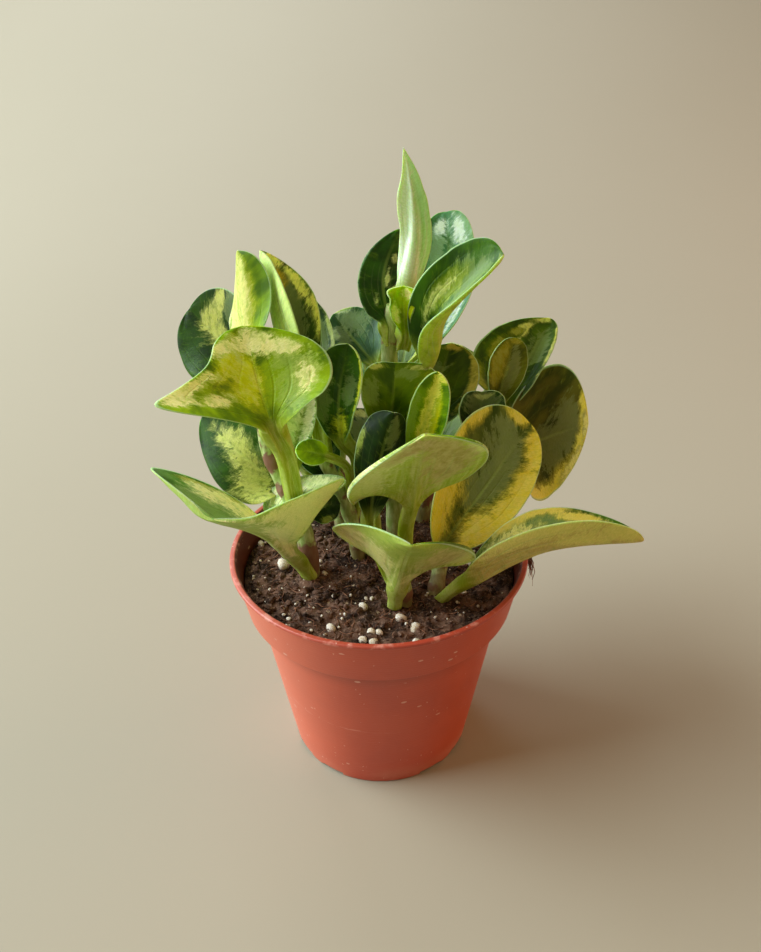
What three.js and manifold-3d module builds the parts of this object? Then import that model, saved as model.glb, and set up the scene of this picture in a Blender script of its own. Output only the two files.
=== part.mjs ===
// A potted variegated peperomia: a thin plastic nursery pot, a plug of potting
// soil, and eight leafy stems that stand in holes in the soil. Millimetres, +Z
// up. The pot stands on z = 0 around the Z axis, and its front looks along -Y.
import * as THREE from "three";
import { mergeVertices } from "three/addons/utils/BufferGeometryUtils.js";
import Module from "manifold-3d";

const wasm = await Module();
wasm.setup();

// Pot
const potHeight = 95;
const rimRadius = 60; // outside of the rolled lip
const baseRadius = 39; // outside of the wall at the ground
const wall = 1.2;
const collarHeight = 20.6; // the wider band below the lip, which the pots stack by
const collarStep = 4.1; // how far the collar stands out from the body
const bodyTopRadius = 50.7; // outside of the body just below the collar
const collarLedge = 0.4; // how far the ledge under the collar falls towards the body
const lipReach = 1.7; // how far the lip stands out from the collar
const lipHeight = 1.3;
const lipEase = 0.3; // bevel of the lip's edges
const floorHeight = 3; // underside of the floor above the ground
const padRadius = 11; // moulded pad in the middle of the floor, down to the ground
const drainRadius = 2;
const drainCircle = 24;
const drainCount = 8;
const drainSides = 8;
const footCount = 4;
const footGapWidth = 27; // straight width of the raised stretch between two feet
const footGapHeight = 1.5;
const footGapDepth = 8; // towards the middle, through the whole foot
const potSegments = 48;

// Soil
const gap = 0.3; // between pieces that touch
const soilTop = 86;
const soilShrink = 0.5; // how far the top of the soil has dried away from the wall
const soilRing = 6.9; // spacing of the rings of points on the soil's surface
const soilSegments = 32;
const lumpHeight = 1.2; // how far the crumbs of soil rise and fall
const grainStandsOut = 0.35; // height of a perlite grain over the soil, in widths
const grainHeight = 1.3; // its whole height, in widths

// Leaves and stems
const bladeThickness = 1.1; // beside the midrib
const thinnest = 0.65; // at the margin
const stemSides = 7;
const petioleSlack = 1.9; // width of a petiole's hole in the soil, in petiole widths
const petioleClear = 4; // a petiole that starts lower than this over the soil has a hole
const fineColumns = [0, 0.34, 0.7, 1]; // shares of a half's width, for the widest and most bent leaves

// White perlite grains at the soil's surface: x, y and width, mostly at the front left.
const grains = [
  [-35, 3, 5.6], [-46, 9, 3.6], [-41, 0, 2.8], [-24, 0, 2], [-15, -1, 2.2], [-37, -9, 2.4],
  [-35, -13, 2], [-31, -15, 2], [-28, -10, 2], [-20, -7, 2.2], [-13, -12, 2.6], [-9, -9, 2],
  [-21, -20, 2.8], [-12, -22, 2.8], [-7, -20, 2.4], [-8, -26, 2], [3, -33, 3.4], [12, -24, 2.4],
  [33, -20, 2.4], [38, -2, 2.6], [-4, 14, 2.6], [12, 30, 3], [-30, 22, 2.6], [0, 44, 3.2],
  [-14, 42, 2.2], [34, 28, 2.6], [44, 14, 2.2], [-40, 30, 2.4], [26, 46, 2.4], [-6, -43, 3.2],
  [-2, -46, 2.8], [1, -42, 2.4], [8, -35, 3.4], [13, -40, 2.6],
];

// A stem has points from its root in the soil to its top, and its radii at both.
//
// A leaf's rib runs from inside the stem along the petiole and the midrib to the
// tip, and the blade begins at point number base. Left and right are the leaf's
// own, seen from the tip's side of its upper face:
//   half   width of each half of the blade, measured along its surface
//   face   direction in which the upper side looks, halfway along the blade
//   fold   degrees by which each half is turned up from flat
//   curl   degrees by which it turns up further towards the margin
//   flap   degrees by which its outer part turns up beyond a second fold
//   sweep  how far each half leans towards the tip, per mm of width
//   shape  how slowly the blade widens from its base, and narrows to its tip
//   funnel fold in degrees where the blade grows out of the petiole
//   throat how soon the funnel opens out: a higher number is sooner
//   stalk  half the petiole's width
//   lobe   one half's bulge: its side, where along the blade, how long and how far
//   rings, columns  how finely the blade is cut along its rib and across each half
const stems = {
  left_stem: {
    points: [[-27, -6, 77], [-29, -5, 104], [-33, -3, 117], [-37, 0, 126], [-42, 3, 140], [-43, 8, 155],
      [-43, 12, 167]],
    radii: [4, 2.4],
    leaves: [
      { name: "low_left", rib: [[-27, -8, 86], [-32, -12, 99], [-42, -26, 120], [-55, -42, 137]],
        half: [21, 33.5], face: [0.1, 0.7, 0.7], fold: [5, 48], curl: [0, -10], flap: [36, 0],
        sweep: [-0.6, 0.55], shape: [1.6, 0.45], funnel: 70, throat: 2.2,
        lobe: { side: 0, at: 0.7, length: 0.2, reach: 17 }, rings: 7, columns: fineColumns },
      { name: "big_front", base: 2,
        rib: [[-31, -5, 116], [-32, -16, 145], [-35, -24, 161], [-40, -16, 177], [-45, -6, 191]],
        half: [13.5, 25.5], face: [0.2, -0.8, 0.6], fold: [17, 10], curl: [-5, -5], sweep: [0, -0.3],
        shape: [0.75, 0.42], stalk: 3, lobe: { side: 0, at: 0.385, length: 0.19, reach: 26 }, rings: 9,
        columns: fineColumns },
      { name: "low_inner", rib: [[-29, -5, 101], [-40, -5, 112], [-35, -4, 120], [-12, -6, 129]],
        half: [8.5, 8.5], face: [-0.25, -0.15, 0.95], fold: [14, 10], shape: [0.5, 0.5], throat: 2,
        stalk: 2 },
      { name: "low_shaded", rib: [[-31, -4, 108], [-28, 0, 110], [-23, 1, 113], [-15, -1, 116]],
        half: [7.5, 7], face: [0, -0.9, 0.4], shape: [0.5, 0.45], stalk: 2 },
      { name: "round_left", rib: [[-33, -2, 113], [-37, 4, 120], [-52, 6, 134], [-69, 18, 145]],
        half: [16, 15.5], face: [-0.1, -0.8, 0.6], fold: [-16, -18], sweep: [-0.2, -0.1],
        shape: [0.5, 0.5] },
      { name: "far_left", rib: [[-42, 10, 154], [-46, 14, 160], [-58, 22, 173], [-71, 30, 185]],
        half: [18.5, 16.5], face: [-0.1, -0.9, 0.5], fold: [-11, -12], sweep: [0, 0.4],
        shape: [0.7, 0.5] },
      { name: "upright_left", rib: [[-43, 12, 166], [-45, 8, 177], [-47, 6, 187], [-47, 10, 212]],
        half: [16, 13.5], face: [-0.8, -0.6, 0.1], fold: [-35, -39], sweep: [0.25, 0.35],
        shape: [1.1, 0.65] },
      { name: "folded_left", rib: [[-43, 6, 149], [-32, 10, 162], [-36, 12, 190], [-40, 18, 210]],
        half: [18, 21], face: [1, -0.1, 0.2], fold: [42, 40], curl: [0, 0], sweep: [0.2, 0.2],
        shape: [0.6, 0.9] },
      { name: "slim_left", rib: [[-35, 0, 122], [-32, 2, 136], [-29, 0, 149], [-24, -3, 167]],
        half: [5.5, 5.5], face: [0, -1, 0], shape: [0.8, 0.6] },
      { name: "back_left", rib: [[-41, 3, 137], [-44, 18, 147], [-51, 36, 151], [-62, 52, 147]],
        half: [15, 15], face: [-0.2, -0.2, 1] },
    ],
  },
  centre_stem: {
    points: [[-7, 4, 69], [-9, 6, 91], [-12, 8, 106], [-16, 8, 118], [-21, 8, 131]],
    radii: [3.4, 2.6],
    leaves: [
      { name: "dark_back", rib: [[-21, 8, 130], [-23, 10, 153], [-25, 25, 172], [-31, 38, 189]],
        half: [9.5, 9.5], face: [-0.1, -0.8, 0.6], fold: [-7, -6], sweep: [0, -0.2], shape: [0.7, 0.5],
        stalk: 3 },
      { name: "dark_folded", base: 2,
        rib: [[-11, 8, 101], [-8, 12, 127], [-14, 8, 139], [-14, 6, 159], [-10, 4, 180]],
        half: [11, 11], face: [-0.2, -0.9, 0.3], fold: [35, 35], shape: [0.7, 0.42] },
      { name: "tiny_round", base: 2,
        rib: [[-11, 8, 112], [-11, 4, 129], [-19, -2, 138], [-30, -6, 143]], half: [5, 5],
        face: [0, -0.8, 0.6], shape: [0.5, 0.5], funnel: 30, stalk: 1.4 },
      { name: "shaded", rib: [[-14, 9, 111], [-18, 16, 117], [-25, 20, 131], [-30, 22, 146]],
        half: [10, 9.5], face: [0.1, -1, 0.2], fold: [-17, -18], sweep: [-0.1, -0.1],
        shape: [0.7, 0.5] },
    ],
  },
  front_stem: {
    points: [[9, -26, 77], [9, -24, 91], [8, -20, 102], [9, -18, 110]],
    radii: [4.2, 2.6],
    leaves: [
      { name: "low_front", rib: [[6, -27, 87], [7, -32, 100], [9, -42, 118], [11, -54, 134]],
        half: [28.5, 29.5], face: [0.2, 0.8, 0.6], fold: [37, 35], curl: [-25, -25],
        sweep: [-0.3, -0.3], shape: [0.8, 0.5], throat: 2.5, rings: 7, columns: fineColumns },
      { name: "cupped_front", base: 2,
        rib: [[10, -18, 101], [10, -18, 117], [12, -22, 131], [14, -33, 153], [15, -42, 168]],
        half: [25, 27], face: [-0.1, 0.8, 0.5], fold: [-8, -14], curl: [10, 20], sweep: [-0.1, -0.8],
        shape: [0.5, 0.3], funnel: 20, rings: 7, columns: fineColumns },
      { name: "dark_inner", base: 2,
        rib: [[7, -22, 89], [0, -12, 101], [-3, -8, 113], [1, -8, 139], [6, -7, 158]], half: [11, 11],
        face: [0.1, -0.9, 0.3], fold: [-48, -51], shape: [0.6, 0.45] },
    ],
  },
  front_right_stem: {
    points: [[21, -22, 78], [23, -16, 89], [25, -10, 97]],
    radii: [3.8, 2.6],
    leaves: [
      { name: "long_right", rib: [[22, -21, 84], [33, -28, 100], [61, -30, 115], [97, -26, 115]],
        half: [22.5, 17], face: [-0.1, 0.4, 0.9], fold: [34, 48], curl: [0, 0], sweep: [-0.1, -0.5],
        shape: [0.8, 0.5], rings: 7 },
      { name: "golden_right", rib: [[24, -14, 90], [24, -12, 101], [41, -5, 125], [58, 5, 147]],
        half: [22.5, 16.5], face: [0.1, -0.9, 0.3], fold: [-3, -2], sweep: [0.3, -0.1],
        shape: [0.65, 0.48], rings: 7 },
    ],
  },
  tall_stem: {
    points: [[7, 16, 67], [7, 17, 96], [7, 18, 129], [6, 20, 153], [5, 20, 171], [7, 19, 189]],
    radii: [4.2, 3],
    leaves: [
      { name: "spear", rib: [[10, 20, 173], [11, 20, 194], [14, 22, 212], [13, 22, 229], [10, 20, 243]],
        half: [6.4, 4.7], face: [0, 1, 0.2], fold: [-8, -12], sweep: [0, 0.1], shape: [0.3, 0.85],
        lobe: { side: 1, at: 0.6, length: 0.16, reach: 2 } },
      { name: "upper_left", rib: [[6, 18, 174], [5, 18, 182], [3, 24, 198], [9, 34, 213]],
        half: [9.5, 15.5], face: [0.4, -0.8, 0.4], fold: [-21, -15], sweep: [-0.7, 0.1],
        shape: [0.6, 0.55] },
      { name: "upper_back", rib: [[8, 21, 158], [21, 30, 169], [28, 40, 190], [28, 52, 215]],
        half: [11.5, 11], face: [-0.2, -0.9, 0.4], fold: [4, 4], sweep: [0, 0.2], shape: [0.6, 0.38] },
      { name: "upper_right",
        rib: [[7, 18, 151], [18, 12, 170], [22, 4, 189], [32, 2, 201], [43, 2, 212]], half: [15.5, 9.5],
        face: [-0.7, -0.3, 0.7], fold: [36, 37], curl: [0, 0], sweep: [0.3, -0.8], shape: [0.5, 0.42],
        funnel: 85, throat: 2 },
      { name: "young_sheath", rib: [[10, 17, 172], [11, 15, 179], [10, 13, 189], [10, 13, 198]],
        half: [7.5, 8], face: [0, -1, 0], fold: [40, 40], shape: [1.1, 0.25] },
      { name: "mid_left", rib: [[5, 22, 149], [-1, 28, 162], [-10, 36, 171], [-17, 42, 178]],
        half: [8, 13], face: [0, -0.7, 0.7], fold: [-4, -4], sweep: [-0.2, 0], shape: [0.6, 0.5] },
      { name: "mid_right", rib: [[8, 19, 131], [16, 20, 141], [24, 21, 158], [29, 24, 172]],
        half: [13, 15], face: [-0.1, -0.9, 0.3], fold: [-5, -4], sweep: [-0.3, 0.2],
        shape: [0.45, 0.5] },
      { name: "olive_inner", rib: [[6, 17, 123], [5, 10, 141], [6, 6, 157], [7, 8, 171]],
        half: [12.5, 17.5], face: [0.1, -1, 0.1], fold: [4, 2], sweep: [0.1, 0.1], shape: [0.6, 0.33] },
      { name: "striped_inner", rib: [[7, 17, 106], [13, 6, 131], [18, 1, 151], [22, -1, 171]],
        half: [8, 9], face: [-0.2, -0.9, 0.3], fold: [40, 20], shape: [0.6, 0.5] },
      { name: "mid_back", rib: [[5, 21, 138], [9, 33, 151], [12, 49, 159], [15, 66, 157]],
        half: [14, 14], face: [0, -0.3, 1] },
    ],
  },
  right_stem: {
    points: [[33, 14, 68], [39, 18, 95], [43, 20, 118], [44, 22, 136]],
    radii: [3.6, 2.4],
    leaves: [
      { name: "bronze_right", rib: [[44, 20, 118], [53, 22, 124], [70, 24, 131], [85, 22, 138]],
        half: [27.5, 24], face: [-0.2, -0.8, 0.5], fold: [2, 3], sweep: [0.3, -0.5],
        shape: [0.6, 0.5] },
      { name: "streaked_right", rib: [[44, 22, 131], [51, 28, 142], [60, 34, 159], [69, 40, 176]],
        half: [23, 7.5], face: [0.1, -0.9, 0.3], fold: [7, 23], curl: [8, 25], sweep: [-0.4, 0.2],
        shape: [0.6, 0.42] },
      { name: "small_right", rib: [[43, 19, 122], [47, 20, 148], [50, 20, 162], [53, 24, 174]],
        half: [7.5, 7.5], face: [0.1, -1, 0.2], fold: [0, 0], sweep: [0, 0.2], shape: [0.6, 0.5] },
      { name: "mottled_inner", rib: [[44, 20, 120], [41, 13, 134], [40, 11, 146], [40, 12, 157]],
        half: [9.5, 9.5], face: [0.1, -1, 0], fold: [16, 16], sweep: [0.4, 0.4], shape: [0.6, 0.45] },
      { name: "back_right", rib: [[43, 20, 116], [47, 32, 128], [57, 45, 134], [72, 56, 131]],
        half: [15, 15], face: [-0.1, -0.2, 1] },
    ],
  },
  rear_left_stem: {
    points: [[-14, 20, 74], [-17, 27, 105], [-15, 36, 130]],
    radii: [3.8, 2.6],
    leaves: [
      { name: "rear_far_left", rib: [[-16, 24, 98], [-28, 33, 110], [-48, 46, 122], [-72, 54, 119]],
        half: [20, 21], face: [-0.3, 0.1, 1] },
      { name: "rear_left", rib: [[-17, 28, 110], [-22, 44, 123], [-30, 62, 132], [-41, 84, 128]],
        half: [21, 21], face: [0, -0.2, 1] },
      { name: "rear_high", rib: [[-15, 35, 127], [-14, 46, 142], [-14, 60, 152], [-14, 76, 154]],
        half: [17, 17], face: [0, -0.6, 0.8] },
      { name: "rear_low", rib: [[-16, 25, 102], [-6, 36, 110], [-2, 50, 120], [-1, 68, 122]],
        half: [15, 15], face: [0.2, -0.4, 1] },
    ],
  },
  rear_right_stem: {
    points: [[18, 30, 74], [22, 38, 108], [24, 46, 135]],
    radii: [3.8, 2.6],
    leaves: [
      { name: "rear_right", rib: [[21, 36, 98], [26, 50, 110], [31, 66, 118], [36, 86, 114]],
        half: [20, 20], face: [0, 0.1, 1] },
      { name: "rear_far_right", rib: [[22, 37, 106], [40, 42, 116], [60, 50, 122], [82, 56, 118]],
        half: [20, 19], face: [0.2, 0.1, 1] },
      { name: "rear_top", rib: [[24, 45, 131], [31, 53, 142], [41, 63, 145], [52, 74, 141]],
        half: [17, 17], face: [-0.2, -0.5, 0.9] },
    ],
  },
};

const radians = THREE.MathUtils.degToRad;
const smooth = (x) => THREE.MathUtils.smoothstep(x, 0, 1);
const vector = (p) => new THREE.Vector3(...p);
const curveThrough = (points) => new THREE.CatmullRomCurve3(points.map(vector), false, "catmullrom", 0.5);

// A closed geometry as a solid that can be joined and cut.
function solid(geometry) {
  geometry.deleteAttribute("normal");
  geometry.deleteAttribute("uv");
  const merged = mergeVertices(geometry, 1e-4);
  const shape = { numProp: 3, vertProperties: merged.attributes.position.array };
  return new wasm.Manifold(new wasm.Mesh({ ...shape, triVerts: new Uint32Array(merged.index.array) }));
}

// A solid as a named mesh of the part.
function piece(name, made, color, roughness) {
  const { vertProperties, triVerts } = made.getMesh();
  const geometry = new THREE.BufferGeometry()
    .setAttribute("position", new THREE.BufferAttribute(vertProperties, 3))
    .setIndex(new THREE.BufferAttribute(triVerts, 1));
  geometry.computeVertexNormals();
  const mesh = new THREE.Mesh(geometry, new THREE.MeshStandardMaterial({ color, roughness, metalness: 0 }));
  mesh.name = name;
  return mesh;
}

// A solid skinned over rings of equally many points, with its two ends closed.
function skin(rings) {
  const sides = rings[0].length;
  const faces = [];
  for (let i = 0; i + 1 < rings.length; i++)
    for (let j = 0; j < sides; j++) {
      const a = i * sides + j;
      const b = i * sides + ((j + 1) % sides);
      faces.push(a, b, b + sides, a, b + sides, a + sides);
    }
  const end = (rings.length - 1) * sides;
  for (let j = 1; j + 1 < sides; j++) faces.push(0, j + 1, j, end, end + j, end + j + 1);
  const geometry = new THREE.BufferGeometry().setFromPoints(rings.flat());
  return solid(geometry.setIndex(faces));
}

// A profile of [radius, height] points, turned round the Z axis.
function turned(profile, segments) {
  const points = profile.map(([radius, height]) => new THREE.Vector2(radius, height));
  return new THREE.LatheGeometry(points, segments).rotateX(Math.PI / 2);
}

// A round stem that tapers from one radius to the other along its points.
function stemSolid({ points, radii }) {
  const path = curveThrough(points);
  const steps = 3 * (points.length - 1);
  const { normals, binormals } = path.computeFrenetFrames(steps, false);
  const rings = normals.map((normal, i) => {
    const centre = path.getPointAt(i / steps);
    const radius = THREE.MathUtils.lerp(...radii, i / steps);
    return Array.from({ length: stemSides }, (_, j) => {
      const angle = (2 * Math.PI * j) / stemSides;
      return centre
        .clone()
        .addScaledVector(normal, radius * Math.cos(angle))
        .addScaledVector(binormals[i], radius * Math.sin(angle));
    });
  });
  return skin(rings);
}

const leafDefaults = {
  base: 1, fold: [8, 8], curl: [8, 8], flap: [0, 0], sweep: [0, 0], shape: [0.75, 0.5],
  funnel: 60, throat: 3, stalk: 2.4, lobe: null, rings: 6, columns: [0, 0.4, 1],
};
const petioleRings = 2;
const petioleFold = 30;
const foldReach = 0.4; // share of a half's width in which it turns up to its fold
const flapStart = 0.38; // share of it at which the flap starts to turn up
const flapReach = 0.2;
const bendSteps = 8; // steps in which the bend is followed from one column to the next

// Where the rings of a leaf lie: at along the rib, blade from 0 at its base to 1 at its tip.
function stations(leaf) {
  const last = leaf.rib.length - 1;
  const petiole = Array.from({ length: petioleRings }, (_, i) => ({
    at: (leaf.base * i) / petioleRings, blade: 0, petiole: true,
  }));
  const blade = Array.from({ length: leaf.rings + 1 }, (_, i) => {
    const share = Math.sin((Math.PI / 2) * (i / leaf.rings));
    return { at: leaf.base + (last - leaf.base) * share, blade: share, petiole: false };
  });
  return [...petiole, ...blade].map((place) => ({ ...place, at: place.at / last }));
}

// The width of one half of the blade at one station.
function halfWidth(leaf, side, blade) {
  const tipWidth = 0.3;
  if (blade === 1) return tipWidth;
  const [grow, narrow] = leaf.shape;
  const widest = grow / (grow + narrow);
  let width = leaf.half[side] * (blade / widest) ** grow * ((1 - blade) / (1 - widest)) ** narrow;
  if (leaf.lobe?.side === side && blade > 0)
    width += leaf.lobe.reach * Math.exp(-(((blade - leaf.lobe.at) / leaf.lobe.length) ** 2));
  return Math.hypot(width, leaf.stalk * (1 - blade) ** 1.5);
}

// Points of one half of a cross-section, from the rib to the margin: how far out,
// how far up, the angle of the surface there, and the thickness under it.
function halfSection(leaf, side, { blade, petiole }) {
  const width = halfWidth(leaf, side, blade);
  const half = leaf.half[side];
  const bladeFold = THREE.MathUtils.lerp(leaf.fold[side], leaf.funnel, (1 - blade) ** leaf.throat);
  const fold = petiole ? petioleFold : bladeFold;
  const angleAt = (share) =>
    radians(
      fold * smooth(share / foldReach) +
        leaf.curl[side] * share ** 1.5 * Math.min(1, width / half) +
        leaf.flap[side] * smooth(((share * width) / half - flapStart) / flapReach),
    );
  const keel = 1.45 * leaf.stalk * (1 - blade) ** 1.3;
  const keelWidth = Math.max(leaf.stalk * (1 - blade) ** 0.8, 0.3);
  const thin = (0.35 + 0.65 * Math.min(1, width / 4)) * (blade > 0 ? 1 : 0.3);
  let out = 0;
  let up = 0;
  return leaf.columns.map((share, k) => {
    const from = leaf.columns[Math.max(k - 1, 0)];
    const step = (share - from) / bendSteps;
    for (let i = 0; i < bendSteps; i++) {
      const angle = angleAt(from + step * (i + 0.5));
      out += Math.cos(angle) * step * width;
      up += Math.sin(angle) * step * width;
    }
    const inKeel = Math.sqrt(Math.max(0, 1 - ((share * width) / keelWidth) ** 2));
    const depth = bladeThickness * (1 - 0.4 * share ** 3) * thin + keel * inKeel;
    return { out, up, angle: angleAt(share), depth: Math.max(depth, thinnest) };
  });
}

// A leaf with its petiole: rings of points round its cross-sections.
function leafSolid(given) {
  const leaf = { ...leafDefaults, ...given };
  const rib = curveThrough(leaf.rib);
  const places = stations(leaf);
  const nearby = 1e-3;
  const tangents = places.map(({ at }) =>
    rib.getPoint(Math.min(at + nearby, 1)).sub(rib.getPoint(Math.max(at - nearby, 0))).normalize(),
  );
  // The upper side looks where face says halfway along the blade, and turns with the rib from there.
  const across = (direction, tangent) =>
    direction.clone().addScaledVector(tangent, -direction.dot(tangent)).normalize();
  const offMiddle = places.map(({ blade, petiole }) => (petiole ? 1 : Math.abs(blade - 0.5)));
  const middle = offMiddle.indexOf(Math.min(...offMiddle));
  const normals = [];
  normals[middle] = across(vector(leaf.face), tangents[middle]);
  for (let i = middle + 1; i < places.length; i++) normals[i] = across(normals[i - 1], tangents[i]);
  for (let i = middle - 1; i >= 0; i--) normals[i] = across(normals[i + 1], tangents[i]);

  const rings = places.map((place, i) => {
    const right = tangents[i].clone().cross(normals[i]);
    const centre = rib.getPoint(place.at);
    const halves = [-1, 1].map((direction, side) =>
      halfSection(leaf, side, place).map(({ out, up, angle, depth }) => {
        const top = centre
          .clone()
          .addScaledVector(right, direction * out)
          .addScaledVector(normals[i], up)
          .addScaledVector(tangents[i], out * leaf.sweep[side] * Math.min(1, 3 * place.blade));
        const bottom = top
          .clone()
          .addScaledVector(right, direction * Math.sin(angle) * depth)
          .addScaledVector(normals[i], -Math.cos(angle) * depth);
        return { top, bottom };
      }),
    );
    const [left, rightHalf] = halves;
    const tops = [...left.toReversed(), ...rightHalf.slice(1)].map(({ top }) => top);
    const bottoms = [...rightHalf.toReversed(), ...left.slice(1)].map(({ bottom }) => bottom);
    return [...tops, ...bottoms];
  });
  return skin(rings);
}

// The pot: a thin wall with a stepped collar and a lip, a floor with drain holes
// and a pad, and a foot ring that is notched between its feet.
function potSolid() {
  const collarBottom = potHeight - collarHeight;
  const collarRadius = bodyTopRadius + collarStep;
  const underLip = rimRadius - lipReach;
  const lipBottom = potHeight - lipHeight;
  const floorTop = floorHeight + wall;
  const bodySlope = (bodyTopRadius - baseRadius) / collarBottom;
  const wallAt = (height) => baseRadius + bodySlope * height;
  const shell = solid(
    turned(
      [
        [0, floorHeight], [wallAt(floorHeight) - wall, floorHeight], [baseRadius - wall, 0],
        [baseRadius, 0], [bodyTopRadius, collarBottom - collarLedge], [collarRadius, collarBottom],
        [underLip, lipBottom - lipEase], [rimRadius, lipBottom + lipEase],
        [rimRadius - lipEase, potHeight], [underLip - lipEase, potHeight],
        [underLip - wall, potHeight - wall], [collarRadius - wall, collarBottom + wall],
        [bodyTopRadius - wall, collarBottom + wall - collarLedge],
        [wallAt(floorTop) - wall, floorTop], [0, floorTop],
      ],
      potSegments,
    ),
  );
  const padTop = floorTop - wall / 2; // merges into the floor
  const pad = turned([[0, 0], [padRadius, 0], [padRadius, padTop], [0, padTop]], potSegments);
  let pot = shell.add(solid(pad));
  for (let i = 0; i < drainCount; i++) {
    const angle = (2 * Math.PI * (i + 0.5)) / drainCount;
    const hole = new THREE.CylinderGeometry(drainRadius, drainRadius, 4 * wall, drainSides)
      .rotateX(Math.PI / 2)
      .translate(drainCircle * Math.cos(angle), drainCircle * Math.sin(angle), floorHeight + wall / 2);
    pot = pot.subtract(solid(hole));
  }
  for (let i = 0; i < footCount; i++) {
    const notch = new THREE.BoxGeometry(footGapDepth, footGapWidth, 2 * footGapHeight)
      .translate(baseRadius - footGapDepth / 2, 0, 0)
      .rotateZ((2 * Math.PI * (i + 0.5)) / footCount);
    pot = pot.subtract(solid(notch));
  }
  return pot;
}

// How far the crumbs of soil rise or fall at a place: waves of three lengths that cross.
function lump(x, y) {
  const coarse = Math.sin(0.31 * x + 1.3) * Math.cos(0.27 * y - 0.4);
  const middle = Math.sin(0.73 * x - 0.51 * y) * 0.6;
  const fine = Math.cos(1.37 * x + 0.9 * y + 2) * 0.4;
  return (lumpHeight / 2) * (coarse + middle + fine);
}

// The soil: a plug that fills the pot up to its crumbly top, with perlite grains
// sunk in the surface and a hole for each stem and each petiole that starts at it.
function soilSolid() {
  const collarBottom = potHeight - collarHeight;
  const inside = wall + gap;
  const bottom = floorHeight + wall + gap;
  const bodySlope = (bodyTopRadius - baseRadius) / collarBottom;
  const collarSlope = (rimRadius - lipReach - bodyTopRadius - collarStep) / (collarHeight - lipHeight);
  const shoulder = bodyTopRadius + collarStep - inside;
  const topRadius = shoulder + collarSlope * (soilTop - collarBottom) - soilShrink;
  const ringCount = Math.floor(topRadius / soilRing);
  const surface = Array.from({ length: ringCount }, (_, i) => [topRadius - (i + 1) * soilRing, soilTop]);
  const plug = turned(
    [
      [0, bottom], [baseRadius + bodySlope * bottom - inside, bottom],
      [bodyTopRadius - inside, collarBottom + wall], [shoulder - gap, collarBottom + wall + 2 * gap],
      [topRadius, soilTop], ...surface.filter(([radius]) => radius > soilRing / 2), [0, soilTop],
    ],
    soilSegments,
  );
  const points = plug.attributes.position;
  for (let i = 0; i < points.count; i++) {
    const [x, y, z] = [points.getX(i), points.getY(i), points.getZ(i)];
    const onSurface = z > soilTop - gap && Math.hypot(x, y) < topRadius - soilShrink;
    if (onSurface) points.setZ(i, soilTop + lump(x, y));
  }
  let soil = solid(plug);
  grains.forEach(([x, y, width], i) => {
    const grain = new THREE.IcosahedronGeometry(width / 2)
      .rotateZ(i)
      .scale(1, 0.8, grainHeight)
      .translate(x, y, soilTop + lump(x, y) + (grainStandsOut - grainHeight / 2) * width);
    soil = soil.add(solid(grain));
  });
  for (const { points, radii, leaves } of Object.values(stems)) {
    const [root, next] = points;
    const deeper = vector(root).addScaledVector(vector(root).sub(vector(next)).normalize(), gap).toArray();
    const wider = radii.map((radius) => radius + 2 * gap);
    soil = soil.subtract(stemSolid({ points: [deeper, ...points], radii: wider }));
    for (const leaf of leaves.filter(({ rib }) => rib[0][2] < soilTop + petioleClear)) {
      const { rib, stalk } = { ...leafDefaults, ...leaf };
      const radius = stalk * petioleSlack;
      soil = soil.subtract(stemSolid({ points: rib.slice(0, 3), radii: [radius, radius] }));
    }
  }
  return soil;
}

const plant = new THREE.Group();
plant.add(piece("pot", potSolid(), 0xb0452c, 0.42));
plant.add(piece("soil", soilSolid(), 0x3a2a20, 1));
for (const [name, stem] of Object.entries(stems)) {
  const made = stem.leaves.reduce((joined, leaf) => joined.add(leafSolid(leaf)), stemSolid(stem));
  plant.add(piece(name, made, 0x6f8f3c, 0.45));
}

export default plant;
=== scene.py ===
import math
import random
import bmesh
import bpy
from mathutils import Matrix, Vector, noise


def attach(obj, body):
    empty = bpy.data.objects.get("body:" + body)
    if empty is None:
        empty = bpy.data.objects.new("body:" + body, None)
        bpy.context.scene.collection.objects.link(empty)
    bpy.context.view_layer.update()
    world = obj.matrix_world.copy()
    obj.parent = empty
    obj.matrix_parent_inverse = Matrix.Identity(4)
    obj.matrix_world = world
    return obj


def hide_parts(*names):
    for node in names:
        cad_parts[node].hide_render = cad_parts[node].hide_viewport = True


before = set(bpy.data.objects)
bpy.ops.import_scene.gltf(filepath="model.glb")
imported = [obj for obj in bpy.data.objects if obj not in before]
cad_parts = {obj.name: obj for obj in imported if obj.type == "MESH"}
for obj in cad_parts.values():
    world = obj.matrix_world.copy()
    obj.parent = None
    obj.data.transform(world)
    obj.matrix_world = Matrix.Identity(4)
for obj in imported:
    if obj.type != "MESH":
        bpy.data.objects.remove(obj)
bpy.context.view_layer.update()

# Pot: a nursery pot of thin red-orange polypropylene, moulded in one shot. The wider
# collar under its rolled lip is what stacked pots rest on. The floor has drain holes,
# a pad in the middle, and four feet between shallow notches in the foot ring.
mm = 0.001
pot_height = 95
rim_radius = 60
base_radius = 39
pot_wall = 1.2
collar_height = 20.6
collar_step = 4.1
body_top_radius = 50.7
lip_reach = 1.7
lip_height = 1.3
floor_height = 3
pad_radius = 11
drain_radius = 2
drain_circle = 24
drain_count = 8
foot_count = 4
foot_gap_width = 27
foot_gap_height = 1.5
foot_ring_width = 8
edge_rounding = 0.28
pot_segments = 144
collar_bottom = pot_height - collar_height
collar_radius = body_top_radius + collar_step
under_lip = rim_radius - lip_reach
lip_bottom = pot_height - lip_height
floor_top = floor_height + pot_wall
body_slope = (body_top_radius - base_radius) / collar_bottom


def wall_at(height):
    return base_radius + body_slope * height


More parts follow.
